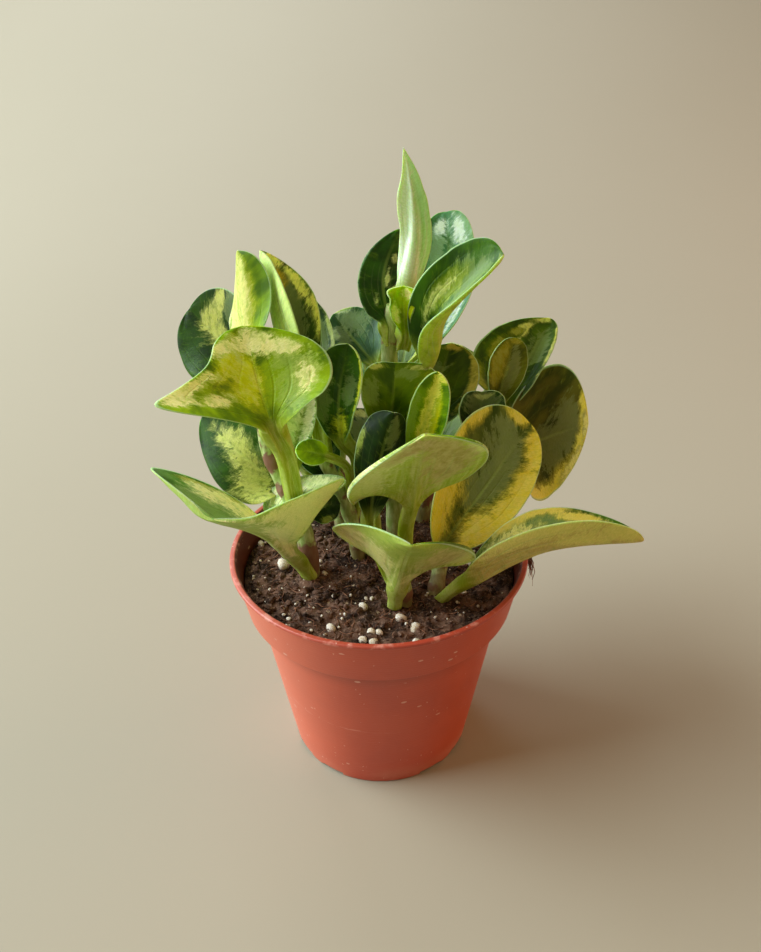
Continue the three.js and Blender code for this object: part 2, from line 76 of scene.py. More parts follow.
def turned(profile, segments):
    """A bmesh of a profile of (radius, height) in millimetres, turned round the Z axis."""
    shape = bmesh.new()
    line = [shape.verts.new((radius * mm, 0, height * mm)) for radius, height in profile]
    for pair in zip(line, line[1:]):
        shape.edges.new(pair)
    bmesh.ops.spin(
        shape, geom=shape.verts[:] + shape.edges[:], cent=(0, 0, 0), axis=(0, 0, 1),
        angle=2 * math.pi, steps=segments, use_merge=True)
    bmesh.ops.remove_doubles(shape, verts=shape.verts, dist=1e-6)
    bmesh.ops.recalc_face_normals(shape, faces=shape.faces)
    return shape


def finished(name, shape, material, sharp=None):
    """A bmesh as a smooth-shaded object that rides on the plant's one body."""
    mesh = bpy.data.meshes.new(name)
    shape.to_mesh(mesh)
    shape.free()
    mesh.polygons.foreach_set("use_smooth", [True] * len(mesh.polygons))
    if sharp is not None:
        mesh.set_sharp_from_angle(angle=math.radians(sharp))
    mesh.materials.append(material)
    piece = bpy.data.objects.new(name, mesh)
    bpy.context.scene.collection.objects.link(piece)
    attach(piece, "root")
    return piece


def colour(hex_code):
    """A linear colour from its usual six-digit code."""
    parts = [int(hex_code[i:i + 2], 16) / 255 for i in (1, 3, 5)]
    linear = [part / 12.92 if part <= 0.04045 else ((part + 0.055) / 1.055) ** 2.4 for part in parts]
    return (*linear, 1)


def add(tree, kind, inputs=(), **settings):
    """A node with its settings and inputs; an input that is a socket is linked."""
    made = tree.nodes.new(kind)
    for name, value in settings.items():
        setattr(made, name, value)
    for name, value in dict(inputs).items():
        if isinstance(value, bpy.types.NodeSocket):
            tree.links.new(value, made.inputs[name])
        else:
            made.inputs[name].default_value = value
    return made


def maths(tree, operation, *values):
    return add(tree, "ShaderNodeMath", enumerate(values), operation=operation).outputs[0]


def times(tree, value, factor):
    return maths(tree, "MULTIPLY", value, factor)


def step(tree, value, low, high):
    """0 below low, 1 above high and smooth between; low may be the higher number."""
    inputs = {"Value": value, "From Min": low, "From Max": high}
    made = add(tree, "ShaderNodeMapRange", inputs, interpolation_type="SMOOTHSTEP")
    return made.outputs["Result"]


def painted(tree, share, under, over, blend_type="MIX"):
    """The colour over laid on the colour under, by share. Each is a socket or a six-digit code."""
    under, over = (colour(shade) if isinstance(shade, str) else shade for shade in (under, over))
    inputs = {0: share, 6: under, 7: over}
    return add(tree, "ShaderNodeMix", inputs, data_type="RGBA", blend_type=blend_type).outputs[2]


def coated(tree, base, coats):
    """The base colour under coats of (mask, strength, colour), laid on in that order."""
    for mask, strength, shade in coats:
        base = painted(tree, times(tree, mask, strength), base, shade)
    return base


def grain(tree, place, scale, detail=3.0, roughness=0.55):
    """Noise from 0 to 1, with 0.5 as its middle."""
    inputs = {"Vector": place, "Scale": scale, "Detail": detail, "Roughness": roughness}
    return add(tree, "ShaderNodeTexNoise", inputs).outputs["Fac"]


def new_material(name):
    material = bpy.data.materials.new(name)
    material.use_nodes = True
    return material, material.node_tree, material.node_tree.nodes["Principled BSDF"]


def wire(tree, surface, **inputs):
    """Links each node output, or sets each constant, on the surface shader's input of that name."""
    for name, value in inputs.items():
        socket = surface.inputs[name.replace("_", " ")]
        if isinstance(value, bpy.types.NodeSocket):
            tree.links.new(value, socket)
        else:
            socket.default_value = value


def bumped(tree, height, distance, strength=1.0):
    inputs = {"Height": height, "Distance": distance, "Strength": strength}
    return add(tree, "ShaderNodeBump", inputs).outputs["Normal"]


def flecks_group():
    """Scattered small flecks of dust or grit, with ragged outlines and uneven density."""
    group = bpy.data.node_groups.new("scattered_flecks", "ShaderNodeTree")
    group.interface.new_socket("Position", in_out="INPUT", socket_type="NodeSocketVector")
    for name in ("Scale", "Size", "Density"):
        group.interface.new_socket(name, in_out="INPUT", socket_type="NodeSocketFloat")
    group.interface.new_socket("Mask", in_out="OUTPUT", socket_type="NodeSocketFloat")
    given = group.nodes.new("NodeGroupInput").outputs
    ragged = add(group, "ShaderNodeTexNoise", {
        "Vector": given["Position"], "Scale": times(group, given["Scale"], 2.3), "Detail": 3.0})
    wander = {0: ragged.outputs["Color"], 1: (0.0012, 0.0012, 0.0012)}
    shift = add(group, "ShaderNodeVectorMath", wander, operation="MULTIPLY")
    shifted = {0: given["Position"], 1: shift.outputs[0]}
    moved = add(group, "ShaderNodeVectorMath", shifted, operation="ADD")
    cells = add(group, "ShaderNodeTexVoronoi", {"Vector": moved.outputs[0], "Scale": given["Scale"]})
    near = maths(group, "LESS_THAN", cells.outputs["Distance"], given["Size"])
    lottery = add(group, "ShaderNodeSeparateColor", {"Color": cells.outputs["Color"]})
    kept = maths(group, "LESS_THAN", lottery.outputs[0], given["Density"])
    result = group.nodes.new("NodeGroupOutput")
    group.links.new(times(group, near, kept), result.inputs["Mask"])
    return group


flecks_tree = flecks_group()


def flecks(tree, place, scale, size, density):
    inputs = {"Position": place, "Scale": scale, "Size": size, "Density": density}
    return add(tree, "ShaderNodeGroup", inputs, node_tree=flecks_tree).outputs["Mask"]


pot_shape = turned([
    (0, floor_height), (wall_at(floor_height) - pot_wall, floor_height), (base_radius - pot_wall, 0),
    (base_radius, 0), (wall_at(1), 1), (body_top_radius, collar_bottom - 0.4), (collar_radius, collar_bottom),
    (under_lip, lip_bottom - 0.3), (rim_radius, lip_bottom + 0.2), (rim_radius - 0.3, pot_height),
    (under_lip - 0.3, pot_height), (under_lip - pot_wall, pot_height - 1),
    (collar_radius - pot_wall, collar_bottom + pot_wall), (body_top_radius - pot_wall, collar_bottom + 0.8),
    (wall_at(floor_top) - pot_wall, floor_top), (pad_radius - 0.6, floor_top), (0, floor_top),
], pot_segments)
sharp_rings = [
    edge for edge in pot_shape.edges if edge.calc_face_angle(0) > math.radians(20)
    and abs(edge.verts[0].co.z - edge.verts[1].co.z) < 1e-6]
bmesh.ops.bevel(
    pot_shape, geom=sharp_rings, offset=edge_rounding * mm, offset_type="OFFSET", affect="EDGES",
    segments=3, profile=0.5, material=-1)
pad_top = floor_height + 0.5
pad_shape = turned([(0, 0), (pad_radius, 0), (pad_radius - 0.5, pad_top), (0, pad_top)], 96)

# The plastic: satin and a little mottled, with a darker lip. Coats of dust, stains and scuffs lie on it
# where the pot gets them: at the foot, inside and all over. Painted light and shade lie on it as well:
# a lighter left side, shade under the collar and inside, and highlight spots on the lip.
pot_plastic, tree, surface = new_material("pot_plastic")
place = add(tree, "ShaderNodeTexCoord").outputs["Object"]
place_x, _, place_z = add(tree, "ShaderNodeSeparateXYZ", {"Vector": place}).outputs
height_mm = times(tree, place_z, 1000.0)
flat_place = add(tree, "ShaderNodeVectorMath", {0: place, 1: (1, 1, 0)}, operation="MULTIPLY").outputs[0]
from_axis = add(tree, "ShaderNodeVectorMath", {0: flat_place}, operation="LENGTH").outputs[1]
cloudy = grain(tree, place, 38.0, 4.0)
fine = grain(tree, place, 900.0, 2.0)
streaks = add(tree, "ShaderNodeMapping", {"Vector": place, "Scale": (1, 1, 9)}).outputs[0]
drag = grain(tree, streaks, 140.0, 3.0, 0.6)
leaning = {"Vector": place, "Rotation": (0, 0.5, 0), "Scale": (1, 1, 2.4)}
slanted = add(tree, "ShaderNodeMapping", leaning).outputs[0]
# Painted light: the left side, which faces the window light, is painted lighter.
painted_light_on_left = step(tree, times(tree, place_x, -1000.0), 2.0, 50.0)
# Painted shade: a darker band on the body just under the collar's step.
painted_shade_under_collar = times(tree, step(tree, height_mm, 62.0, 73.8), step(tree, height_mm, 74.6, 74.0))
lip = step(tree, height_mm, 93.2, 93.8)
wall_line = maths(tree, "SUBTRACT", times(tree, from_axis, 1000.0), times(tree, height_mm, 0.18))
# Painted shade with some soil stain: the inner wall above the soil is painted nearly dark.
soil_stain_and_painted_shade_inside = times(tree, step(tree, wall_line, 40.95, 40.6), step(tree, height_mm, 70.0, 76.0))
# Painted highlight: pale pink spots on the top of the lip.
painted_lip_highlights = times(tree, lip, step(tree, grain(tree, place, 260.0, 4.0), 0.5, 0.7))
low_dust = times(tree, step(tree, height_mm, 12.0, 1.0), step(tree, cloudy, 0.35, 0.65))
ring_wave = maths(tree, "ADD", height_mm, times(tree, grain(tree, place, 16.0, 2.0), 7.0))
ring_off = maths(tree, "ABSOLUTE", maths(tree, "SUBTRACT", ring_wave, 39.2))
ring_scratch = times(tree, step(tree, ring_off, 0.55, 0.2), step(tree, drag, 0.48, 0.6))
ring_scratch = times(tree, ring_scratch, step(tree, place_x, 0.012, -0.02))
long_scuffs = flecks(tree, slanted, 210.0, 0.24, 0.05)
scuffed = maths(tree, "MAXIMUM", long_scuffs, flecks(tree, place, 700.0, 0.22, 0.035))
plastic = painted(tree, step(tree, cloudy, 0.25, 0.75), "#b93e1e", "#c64a28")
# Among these coats, the lighter left side, the shade under the collar, the dark inner wall and the lip's pale
# spots are painted light and shade.
plastic = coated(tree, plastic, [
    (step(tree, drag, 0.55, 0.8), 0.18, "#d9735a"), (painted_light_on_left, 0.6, "#f3886a"), (painted_shade_under_collar, 0.5, "#8a2f1c"),
    (lip, 0.6, "#9c3a2c"), (soil_stain_and_painted_shade_inside, 0.93, "#4f1c10"), (painted_lip_highlights, 0.5, "#e8a593"),
    (low_dust, 0.3, "#d9a08a"), (ring_scratch, 0.35, "#eeb7a4"), (scuffed, 0.5, "#f0cdbb")])
roughness = maths(tree, "ADD", 0.36, times(tree, cloudy, 0.14))
roughness = maths(tree, "ADD", roughness, times(tree, scuffed, 0.2))
turning = maths(tree, "SINE", times(tree, height_mm, 5.2))
relief = maths(tree, "ADD", times(tree, turning, 0.06), times(tree, fine, 0.5))
relief = maths(tree, "ADD", relief, times(tree, cloudy, 1.6))
wire(tree, surface, Base_Color=plastic, Roughness=roughness, IOR=1.5, Specular_IOR_Level=0.75,
     Normal=bumped(tree, relief, 0.00012, 0.7))

pot_tool = bpy.data.objects.new("pot_cutters", bpy.data.meshes.new("pot_cutters"))
cutters = bmesh.new()
for number in range(drain_count):
    angle = 2 * math.pi * (number + 0.5) / drain_count
    hole = bmesh.ops.create_cone(
        cutters, cap_ends=True, segments=24, radius1=drain_radius * mm, radius2=drain_radius * mm,
        depth=4 * pot_wall * mm)["verts"]
    centre = Vector((math.cos(angle), math.sin(angle), 0)) * drain_circle
    bmesh.ops.translate(cutters, verts=hole, vec=(centre + Vector((0, 0, floor_height + pot_wall / 2))) * mm)
for number in range(foot_count):
    angle = 2 * math.pi * (number + 0.5) / foot_count
    notch = bmesh.ops.create_cube(cutters, size=1)["verts"]
    notch_size = Vector((foot_ring_width, foot_gap_width, 2 * foot_gap_height)) * mm
    bmesh.ops.scale(cutters, verts=notch, vec=notch_size)
    bmesh.ops.translate(cutters, verts=notch, vec=((base_radius - foot_ring_width / 2) * mm, 0, 0))
    bmesh.ops.rotate(cutters, verts=notch, cent=(0, 0, 0), matrix=Matrix.Rotation(angle, 3, "Z"))
cutters.to_mesh(pot_tool.data)
cutters.free()


def cut_and_kept(piece, tool, operation):
    """Cuts the tool from the piece or joins it on, and leaves the piece a plain mesh."""
    bpy.context.scene.collection.objects.link(tool)
    change = piece.modifiers.new("change", "BOOLEAN")
    change.operation = operation
    change.solver = "EXACT"
    change.object = tool
    changed = piece.evaluated_get(bpy.context.evaluated_depsgraph_get())
    mesh = bpy.data.meshes.new_from_object(changed)
    piece.modifiers.clear()
    mesh.name = piece.name
    piece.data = mesh
    bpy.data.objects.remove(tool)


pot = finished("nursery_pot", pot_shape, pot_plastic)
pad = bpy.data.objects.new("pot_pad", bpy.data.meshes.new("pot_pad"))
pad_shape.to_mesh(pad.data)
pad_shape.free()
cut_and_kept(pot, pad, "UNION")
cut_and_kept(pot, pot_tool, "DIFFERENCE")
pot.data.polygons.foreach_set("use_smooth", [True] * len(pot.data.polygons))
pot.data.set_sharp_from_angle(angle=math.radians(38))
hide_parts("pot")

# Soil: moist peat and coir potting mix that fills the pot to 9 mm below its lip. It is
# poured and pressed in by hand, so its top is lumpy, and it settles round the stems.
soil_top = 86
soil_gap = 0.3
lump_height = 1.2
soil_bottom = floor_height + pot_wall + soil_gap
soil_inset = pot_wall + soil_gap
collar_slope = (under_lip - collar_radius) / (collar_height - lip_height)
soil_radius = collar_radius + collar_slope * (soil_top - collar_bottom) - soil_inset - 0.5


def soil_lump(x, y):
    """Height in millimetres of the lumps at a place on the soil."""
    coarse = math.sin(0.31 * x + 1.3) * math.cos(0.27 * y - 0.4)
    middle = math.sin(0.73 * x - 0.51 * y) * 0.6
    fine_wave = math.cos(1.37 * x + 0.9 * y + 2) * 0.4
    return lump_height / 2 * (coarse + middle + fine_wave)


def soil_level(x, y):
    """Height in millimetres of the soil's surface, with its crumbs."""
    spot = Vector((x, y, 3.7))
    crumbs = noise.fractal(spot * 0.45, 0.7, 2.1, 4) * 0.9
    clods = noise.noise(spot * 0.17) * 1.1
    return soil_top + soil_lump(x, y) * 0.7 + crumbs + clods - 0.2


ring_step = 1.15
ring_count = int(soil_radius / ring_step)
soil_profile = [
    (0, soil_bottom), (wall_at(soil_bottom) - soil_inset, soil_bottom),
    (body_top_radius - soil_inset, collar_bottom + pot_wall),
    (collar_radius - soil_inset - 0.3, collar_bottom + pot_wall + 0.7), (soil_radius, soil_top - 1),
]
soil_profile += [(soil_radius - ring_step * ring, soil_top) for ring in range(1, ring_count + 1)]
soil_shape = turned(soil_profile + [(0, soil_top)], 180)
for vert in soil_shape.verts:
    x, y, z = vert.co / mm
    if z > soil_top - 0.5:
        shoulder = min(1, (soil_radius - math.hypot(x, y)) / 3)
        vert.co.z = (soil_top - 1 + (soil_level(x, y) - soil_top + 1) * shoulder) * mm
bmesh.ops.recalc_face_normals(soil_shape, faces=soil_shape.faces)

potting_soil, tree, surface = new_material("potting_soil")
place = add(tree, "ShaderNodeTexCoord").outputs["Object"]
coarse = grain(tree, place, 160.0, 5.0, 0.65)
tiny = grain(tree, place, 900.0, 3.0, 0.7)
earth = painted(tree, step(tree, coarse, 0.38, 0.66), "#2a1b13", "#7a5a48")
earth = painted(tree, step(tree, tiny, 0.52, 0.78), earth, "#a88b76")
elsewhere = add(tree, "ShaderNodeMapping", {"Vector": place, "Location": (0.3, 0.1, 0)}).outputs[0]
russet = step(tree, grain(tree, elsewhere, 420.0), 0.6, 0.72)
earth = coated(tree, earth, [(russet, 0.55, "#6a3d26")])
earth = painted(tree, flecks(tree, place, 420.0, 0.26, 0.06), earth, "#b9a184")
relief = maths(tree, "ADD", coarse, times(tree, tiny, 0.45))
wire(tree, surface, Base_Color=earth, Roughness=0.93, Specular_IOR_Level=0.25,
     Normal=bumped(tree, relief, 0.0012, 0.9))

soil = finished("soil_surface", soil_shape, potting_soil)
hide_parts("soil")

# Loose crumbs: bits of bark, peat and coir that lie on the soil, each a small irregular
# lump, mostly 0.5 to 3 mm long. They are made a handful at a time, which is quicker.
crumb_handfuls = 36
crumbs_in_handful = 60
chance = random.Random(41)
loose = bpy.data.meshes.new("loose")


def gathered(shape, handful):
    """Adds a handful's mesh to the shape, and empties the handful."""
    handful.to_mesh(loose)
    shape.from_mesh(loose)
    handful.clear()


def scattered(margin):
    """A random place on the soil, at least the margin from its edge."""
    angle = chance.uniform(0, 2 * math.pi)
    reach = (soil_radius - margin) * math.sqrt(chance.random())
    return reach * math.cos(angle), reach * math.sin(angle)


def tumbled(lowest):
    """A random turn whose axis points at least as high as the lowest, from -1 to 1."""
    axis = Vector((chance.uniform(-1, 1), chance.uniform(-1, 1), chance.uniform(lowest, 1)))
    return axis.to_track_quat("Z", "Y")


crumb_shape = bmesh.new()
handful = bmesh.new()
for number in range(crumb_handfuls):
    for _ in range(crumbs_in_handful):
        x, y = scattered(1.6)
        size = chance.choice((0.6, 0.8, 1.0, 1.2, 1.5, 2.0, 2.8)) * chance.uniform(0.8, 1.2)
        stretch = Vector((chance.uniform(0.7, 1.7), chance.uniform(0.6, 1.1), chance.uniform(0.5, 0.9)))
        turn = tumbled(-1)
        centre = Vector((x, y, soil_level(x, y) + size * 0.12)) * mm
        lump = bmesh.ops.create_icosphere(handful, subdivisions=1, radius=size / 2 * mm)["verts"]
        for vert in lump:
            vert.co = turn @ (vert.co * stretch * chance.uniform(0.75, 1.25)) + centre
    gathered(crumb_shape, handful)
crumbs = finished("soil_crumbs", crumb_shape, potting_soil, sharp=40)
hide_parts("soil")

# Perlite: white grains of expanded volcanic glass mixed through the soil. The large ones
# are placed one by one as (x, y, width), thickest in front, and small ones are strewn between.
grains = [
    (-39, -2, 6.6), (-50, 14, 3.4), (-22, -6, 2.8), (-3, -23, 2.4), (-5, -23, 1.8), (-6, -28, 4),
    (-11, -21, 1.6), (8, -35, 4.2), (13, -40, 4.4), (10, -39, 1.6), (-3, -43, 3.6), (-6, -46, 3.2),
    (-2, -47, 3.6), (0, -43, 3), (13, -47, 4), (-18, -40, 4), (-25, -28, 1.4), (-32, -26, 1.2),
    (-34, -34, 2.2), (-36, -32, 1.6), (-15, -39, 1.4), (-20, -44, 1.6), (-43, -17, 1.6), (-13, -32, 1.6),
    (19, -20, 1.6), (-1, -51, 1.6), (-49, 2, 1.4), (-30, -11, 1.4), (-28, -20, 1.4), (4, -31, 1.2),
    (30, -26, 1.4), (21, -34, 1.4), (-18, -21, 2), (-24, 0, 2), (33, -20, 2.4), (38, -2, 2.6), (-4, 14, 2.6),
    (12, 30, 3), (-30, 22, 2.6), (0, 44, 3.2), (-14, 42, 2.2), (34, 28, 2.6), (44, 14, 2.2), (-40, 30, 2.4),
    (26, 46, 2.4),
]
strewn_grains = 150
chance = random.Random(7)
for number in range(strewn_grains):
    grains.append((*scattered(2), chance.choice((0.6, 0.7, 0.9, 1.2, 1.5))))
perlite_shape = bmesh.new()
for x, y, width in grains:
    spin = chance.uniform(0, 50)
    turn = tumbled(0.2)
    centre = Vector((x, y, soil_level(x, y) + width * 0.2)) * mm
    fineness = 2 if width > 2 else 1
    lump = bmesh.ops.create_icosphere(handful, subdivisions=fineness, radius=width / 2 * mm)["verts"]
    for vert in lump:
        pits = noise.noise(vert.co / mm * (1.4 / width) + Vector((spin, 0, 0)))
        vert.co = turn @ (vert.co * Vector((1.05, 0.85, 0.8)) * (1 + 0.55 * pits)) + centre
    gathered(perlite_shape, handful)
perlite_look, tree, surface = new_material("perlite")
place = add(tree, "ShaderNodeTexCoord").outputs["Object"]
pores = grain(tree, place, 1500.0, 3.0, 0.7)
stain = grain(tree, place, 260.0, 3.0)
chalk = painted(tree, step(tree, stain, 0.45, 0.75), "#fdf8ee", "#dccbb0")
chalk = painted(tree, step(tree, pores, 0.62, 0.42), chalk, "#e2d5c0", "MULTIPLY")
wire(tree, surface, Base_Color=chalk, Roughness=0.85, Normal=bumped(tree, pores, 0.0004))
perlite = finished("perlite_grains", perlite_shape, perlite_look)
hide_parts("soil")

# Fibres: coir threads and dead rootlets, a few tenths of a millimetre thick. They are
# strewn on the soil, and a clot of them has caught on the lip at the right.
strewn_fibres = 330
clot_fibres = 46
chance = random.Random(19)


def along_line(points, at):
    """A place on the smooth line through the points; at counts the points from 0."""
    first = max(0, min(int(at), len(points) - 2))
    t = at - first
    here, there = points[first], points[first + 1]
    before = points[first - 1] if first > 0 else 2 * here - there
    after = points[first + 2] if first + 2 < len(points) else 2 * there - here
    square = (2 * before - 5 * here + 4 * there - after) * t ** 2
    return 0.5 * (2 * here + (there - before) * t + square + (3 * here - before - 3 * there + after) * t ** 3)


def rod(shape, points, sides, cuts):
    """Makes a round rod, and gives each vertex with its share, centre and heading along the points."""
    bmesh.ops.create_cone(shape, cap_ends=True, segments=sides, radius1=1, radius2=1, depth=2)
    lengthwise = [edge for edge in shape.edges if abs(edge.verts[0].co.z - edge.verts[1].co.z) > 1]
    bmesh.ops.subdivide_edges(shape, edges=lengthwise, cuts=cuts)
    last = len(points) - 1
    for vert in shape.verts:
        share = (vert.co.z + 1) / 2
        before = along_line(points, max(share - 0.01, 0) * last)
        after = along_line(points, min(share + 0.01, 1) * last)
        yield vert, share, along_line(points, share * last), after - before


def strand(shape, points, radius, sides, spans):
    """Adds a thin round thread that follows the points in millimetres and tapers at its ends."""
    for vert, share, centre, ahead in rod(handful, points, sides, spans - 1):
        side = ahead.normalized().cross(Vector((0.31, 0.17, 0.93))).normalized()
        other = ahead.normalized().cross(side)
        thick = radius * (0.35 + 0.65 * math.sin(math.pi * min(max(share, 0.08), 0.92)))
        vert.co = (centre + (side * vert.co.x + other * vert.co.y) * thick) * mm
    gathered(shape, handful)


fibre_shape = bmesh.new()
for number in range(strewn_fibres):
    x, y = scattered(5)
    heading = chance.uniform(0, 2 * math.pi)
    length = chance.uniform(2, 9)
    points = []
    for share in (-0.5, -0.17, 0.17, 0.5):
        bend = chance.uniform(-0.16, 0.16) * length
        px = x + length * share * math.cos(heading) - bend * math.sin(heading)
        py = y + length * share * math.sin(heading) + bend * math.cos(heading)
        off = math.hypot(px, py)
        shrink = min(1, (soil_radius - 1) / off) if off else 1
        px, py = px * shrink, py * shrink
        points.append(Vector((px, py, soil_level(px, py) + chance.uniform(0.2, 1.5))))
    strand(fibre_shape, points, chance.uniform(0.1, 0.3), 3, 6)
for number in range(clot_fibres):
    start = Vector((chance.uniform(54.5, 57), chance.uniform(-9, 2), chance.uniform(88.5, 94)))
    over = Vector((chance.uniform(58.2, 59.6), start.y + chance.uniform(-2, 2), chance.uniform(95.2, 96.1)))
    down = Vector((chance.uniform(60.2, 61.9), over.y + chance.uniform(-2.5, 2.5), chance.uniform(87, 94)))
    end = Vector((chance.uniform(60.0, 62.4), down.y + chance.uniform(-3, 3), down.z - chance.uniform(0, 6)))
    strand(fibre_shape, [start, over, down, end], chance.uniform(0.1, 0.24), 3, 8)
bmesh.ops.recalc_face_normals(fibre_shape, faces=fibre_shape.faces)
fibre_look, tree, surface = new_material("coir_fibre")
place = add(tree, "ShaderNodeTexCoord").outputs["Object"]
patchy = grain(tree, place, 240.0, 4.0)
thread = painted(tree, step(tree, patchy, 0.35, 0.65), "#57301f", "#a8785a")
wire(tree, surface, Base_Color=thread, Roughness=0.8, Specular_IOR_Level=0.3,
     Normal=bumped(tree, grain(tree, place, 2400.0), 0.0002))
fibres = finished("coir_fibres", fibre_shape, fibre_look)
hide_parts("soil")

# Stalks: thick, juicy stems, pale green where fresh and maroon to brown round the old
# joints. Each grows from the soil and swells slightly at every joint that bears a leaf.
stems = {
    "left_stem": {
        "points": [(-27, -6, 77), (-29, -5, 104), (-33, -3, 117), (-37, 0, 126), (-42, 3, 140), (-43, 8, 155),
                   (-43, 12, 167)],
        "radii": (4, 2.4), "joints": (0.1, 0.3, 0.45, 0.6, 0.78, 0.98), "ruddy": 0.85},
    "centre_stem": {
        "points": [(-7, 4, 69), (-9, 6, 91), (-12, 8, 106), (-16, 8, 118), (-21, 8, 131)],
        "radii": (3.4, 2.6), "joints": (0.25, 0.5, 0.68, 0.95), "ruddy": 0.2},
    "front_stem": {
        "points": [(9, -26, 77), (9, -24, 91), (8, -20, 102), (9, -18, 110)],
        "radii": (4.2, 2.6), "joints": (0.3, 0.6, 0.9), "ruddy": 0.5},
    "front_right_stem": {
        "points": [(21, -22, 78), (23, -16, 89), (25, -10, 97)],
        "radii": (3.8, 2.6), "joints": (0.4, 0.8), "ruddy": 0.3},
    "tall_stem": {
        "points": [(7, 16, 67), (7, 17, 96), (7, 18, 129), (6, 20, 153), (5, 20, 171), (7, 19, 189)],
        "radii": (4.2, 3), "joints": (0.3, 0.48, 0.6, 0.7, 0.85, 0.97), "ruddy": 0.25},
    "right_stem": {
        "points": [(33, 14, 68), (39, 18, 95), (43, 20, 118), (44, 22, 136)],
        "radii": (3.6, 2.4), "joints": (0.35, 0.6, 0.75, 0.95), "ruddy": 0.45},
    "rear_left_stem": {
        "points": [(-14, 20, 74), (-17, 27, 105), (-15, 36, 130)],
        "radii": (3.8, 2.6), "joints": (0.4, 0.6, 0.9), "ruddy": 0.4},
    "rear_right_stem": {
        "points": [(18, 30, 74), (22, 38, 108), (24, 46, 135)],
        "radii": (3.8, 2.6), "joints": (0.35, 0.55, 0.92), "ruddy": 0.4},
}


def attribute(tree, name, output="Vector"):
    return add(tree, "ShaderNodeAttribute", attribute_name=name).outputs[output]


stalk_look, tree, surface = new_material("stalk_skin")
place = add(tree, "ShaderNodeTexCoord").outputs["Object"]
joint_mark = attribute(tree, "joint")
at_joint, ruddy, near_soil = add(tree, "ShaderNodeSeparateXYZ", {"Vector": joint_mark}).outputs
long_place = add(tree, "ShaderNodeMapping", {"Vector": place, "Scale": (1, 1, 0.3)}).outputs[0]
streaky = grain(tree, long_place, 520.0, 4.0)
blotch = grain(tree, place, 210.0, 4.0, 0.6)
skin = painted(tree, step(tree, streaky, 0.35, 0.7), "#8da651", "#c6d493")
maroon = maths(tree, "ADD", times(tree, at_joint, ruddy), times(tree, ruddy, 0.25))
maroon = step(tree, maths(tree, "ADD", maroon, maths(tree, "SUBTRACT", blotch, 0.72)), 0.0, 0.16)
husk = step(tree, maths(tree, "ADD", near_soil, maths(tree, "SUBTRACT", blotch, 0.9)), 0.0, 0.3)
skin = coated(tree, skin, [(maroon, 0.85, "#742f36"), (husk, 0.7, "#7a5a3c")])
wire(tree, surface, Base_Color=skin, Roughness=0.48, Specular_IOR_Level=0.45, Subsurface_Weight=0.08,
     Subsurface_Scale=0.003, Normal=bumped(tree, streaky, 0.0003, 0.6))

stalk_sides = 20
cuts_per_span = 24
for stem_name, stem in stems.items():
    points = [Vector(point) for point in stem["points"]]
    last = len(points) - 1
    stalk_shape = bmesh.new()
    joint_layer = stalk_shape.verts.layers.float_vector.new("joint")
    for vert, share, centre, ahead in rod(stalk_shape, points, stalk_sides, cuts_per_span * last):
        across = Vector((0, 1, 0)).cross(ahead).normalized()
        other = ahead.normalized().cross(across)
        near = max(math.exp(-((share - joint) * last / 0.16) ** 2) for joint in stem["joints"])
        radius = stem["radii"][0] + (stem["radii"][1] - stem["radii"][0]) * share
        radius *= 0.95 + 0.13 * near
        low = max(0, 1 - (centre.z - soil_top) / 14)
        vert[joint_layer] = (near, stem["ruddy"], low)
        vert.co = (centre + (across * vert.co.x + other * vert.co.y) * radius) * mm
    bmesh.ops.recalc_face_normals(stalk_shape, faces=stalk_shape.faces)
    stalk = finished(stem_name + "_stalk", stalk_shape, stalk_look, sharp=50)
    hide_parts(stem_name)

# Leaves: fleshy, waxy blades, each grown in one with its channelled petiole. Cream and
# yellow patches with feathery borders run into the green along the side veins.

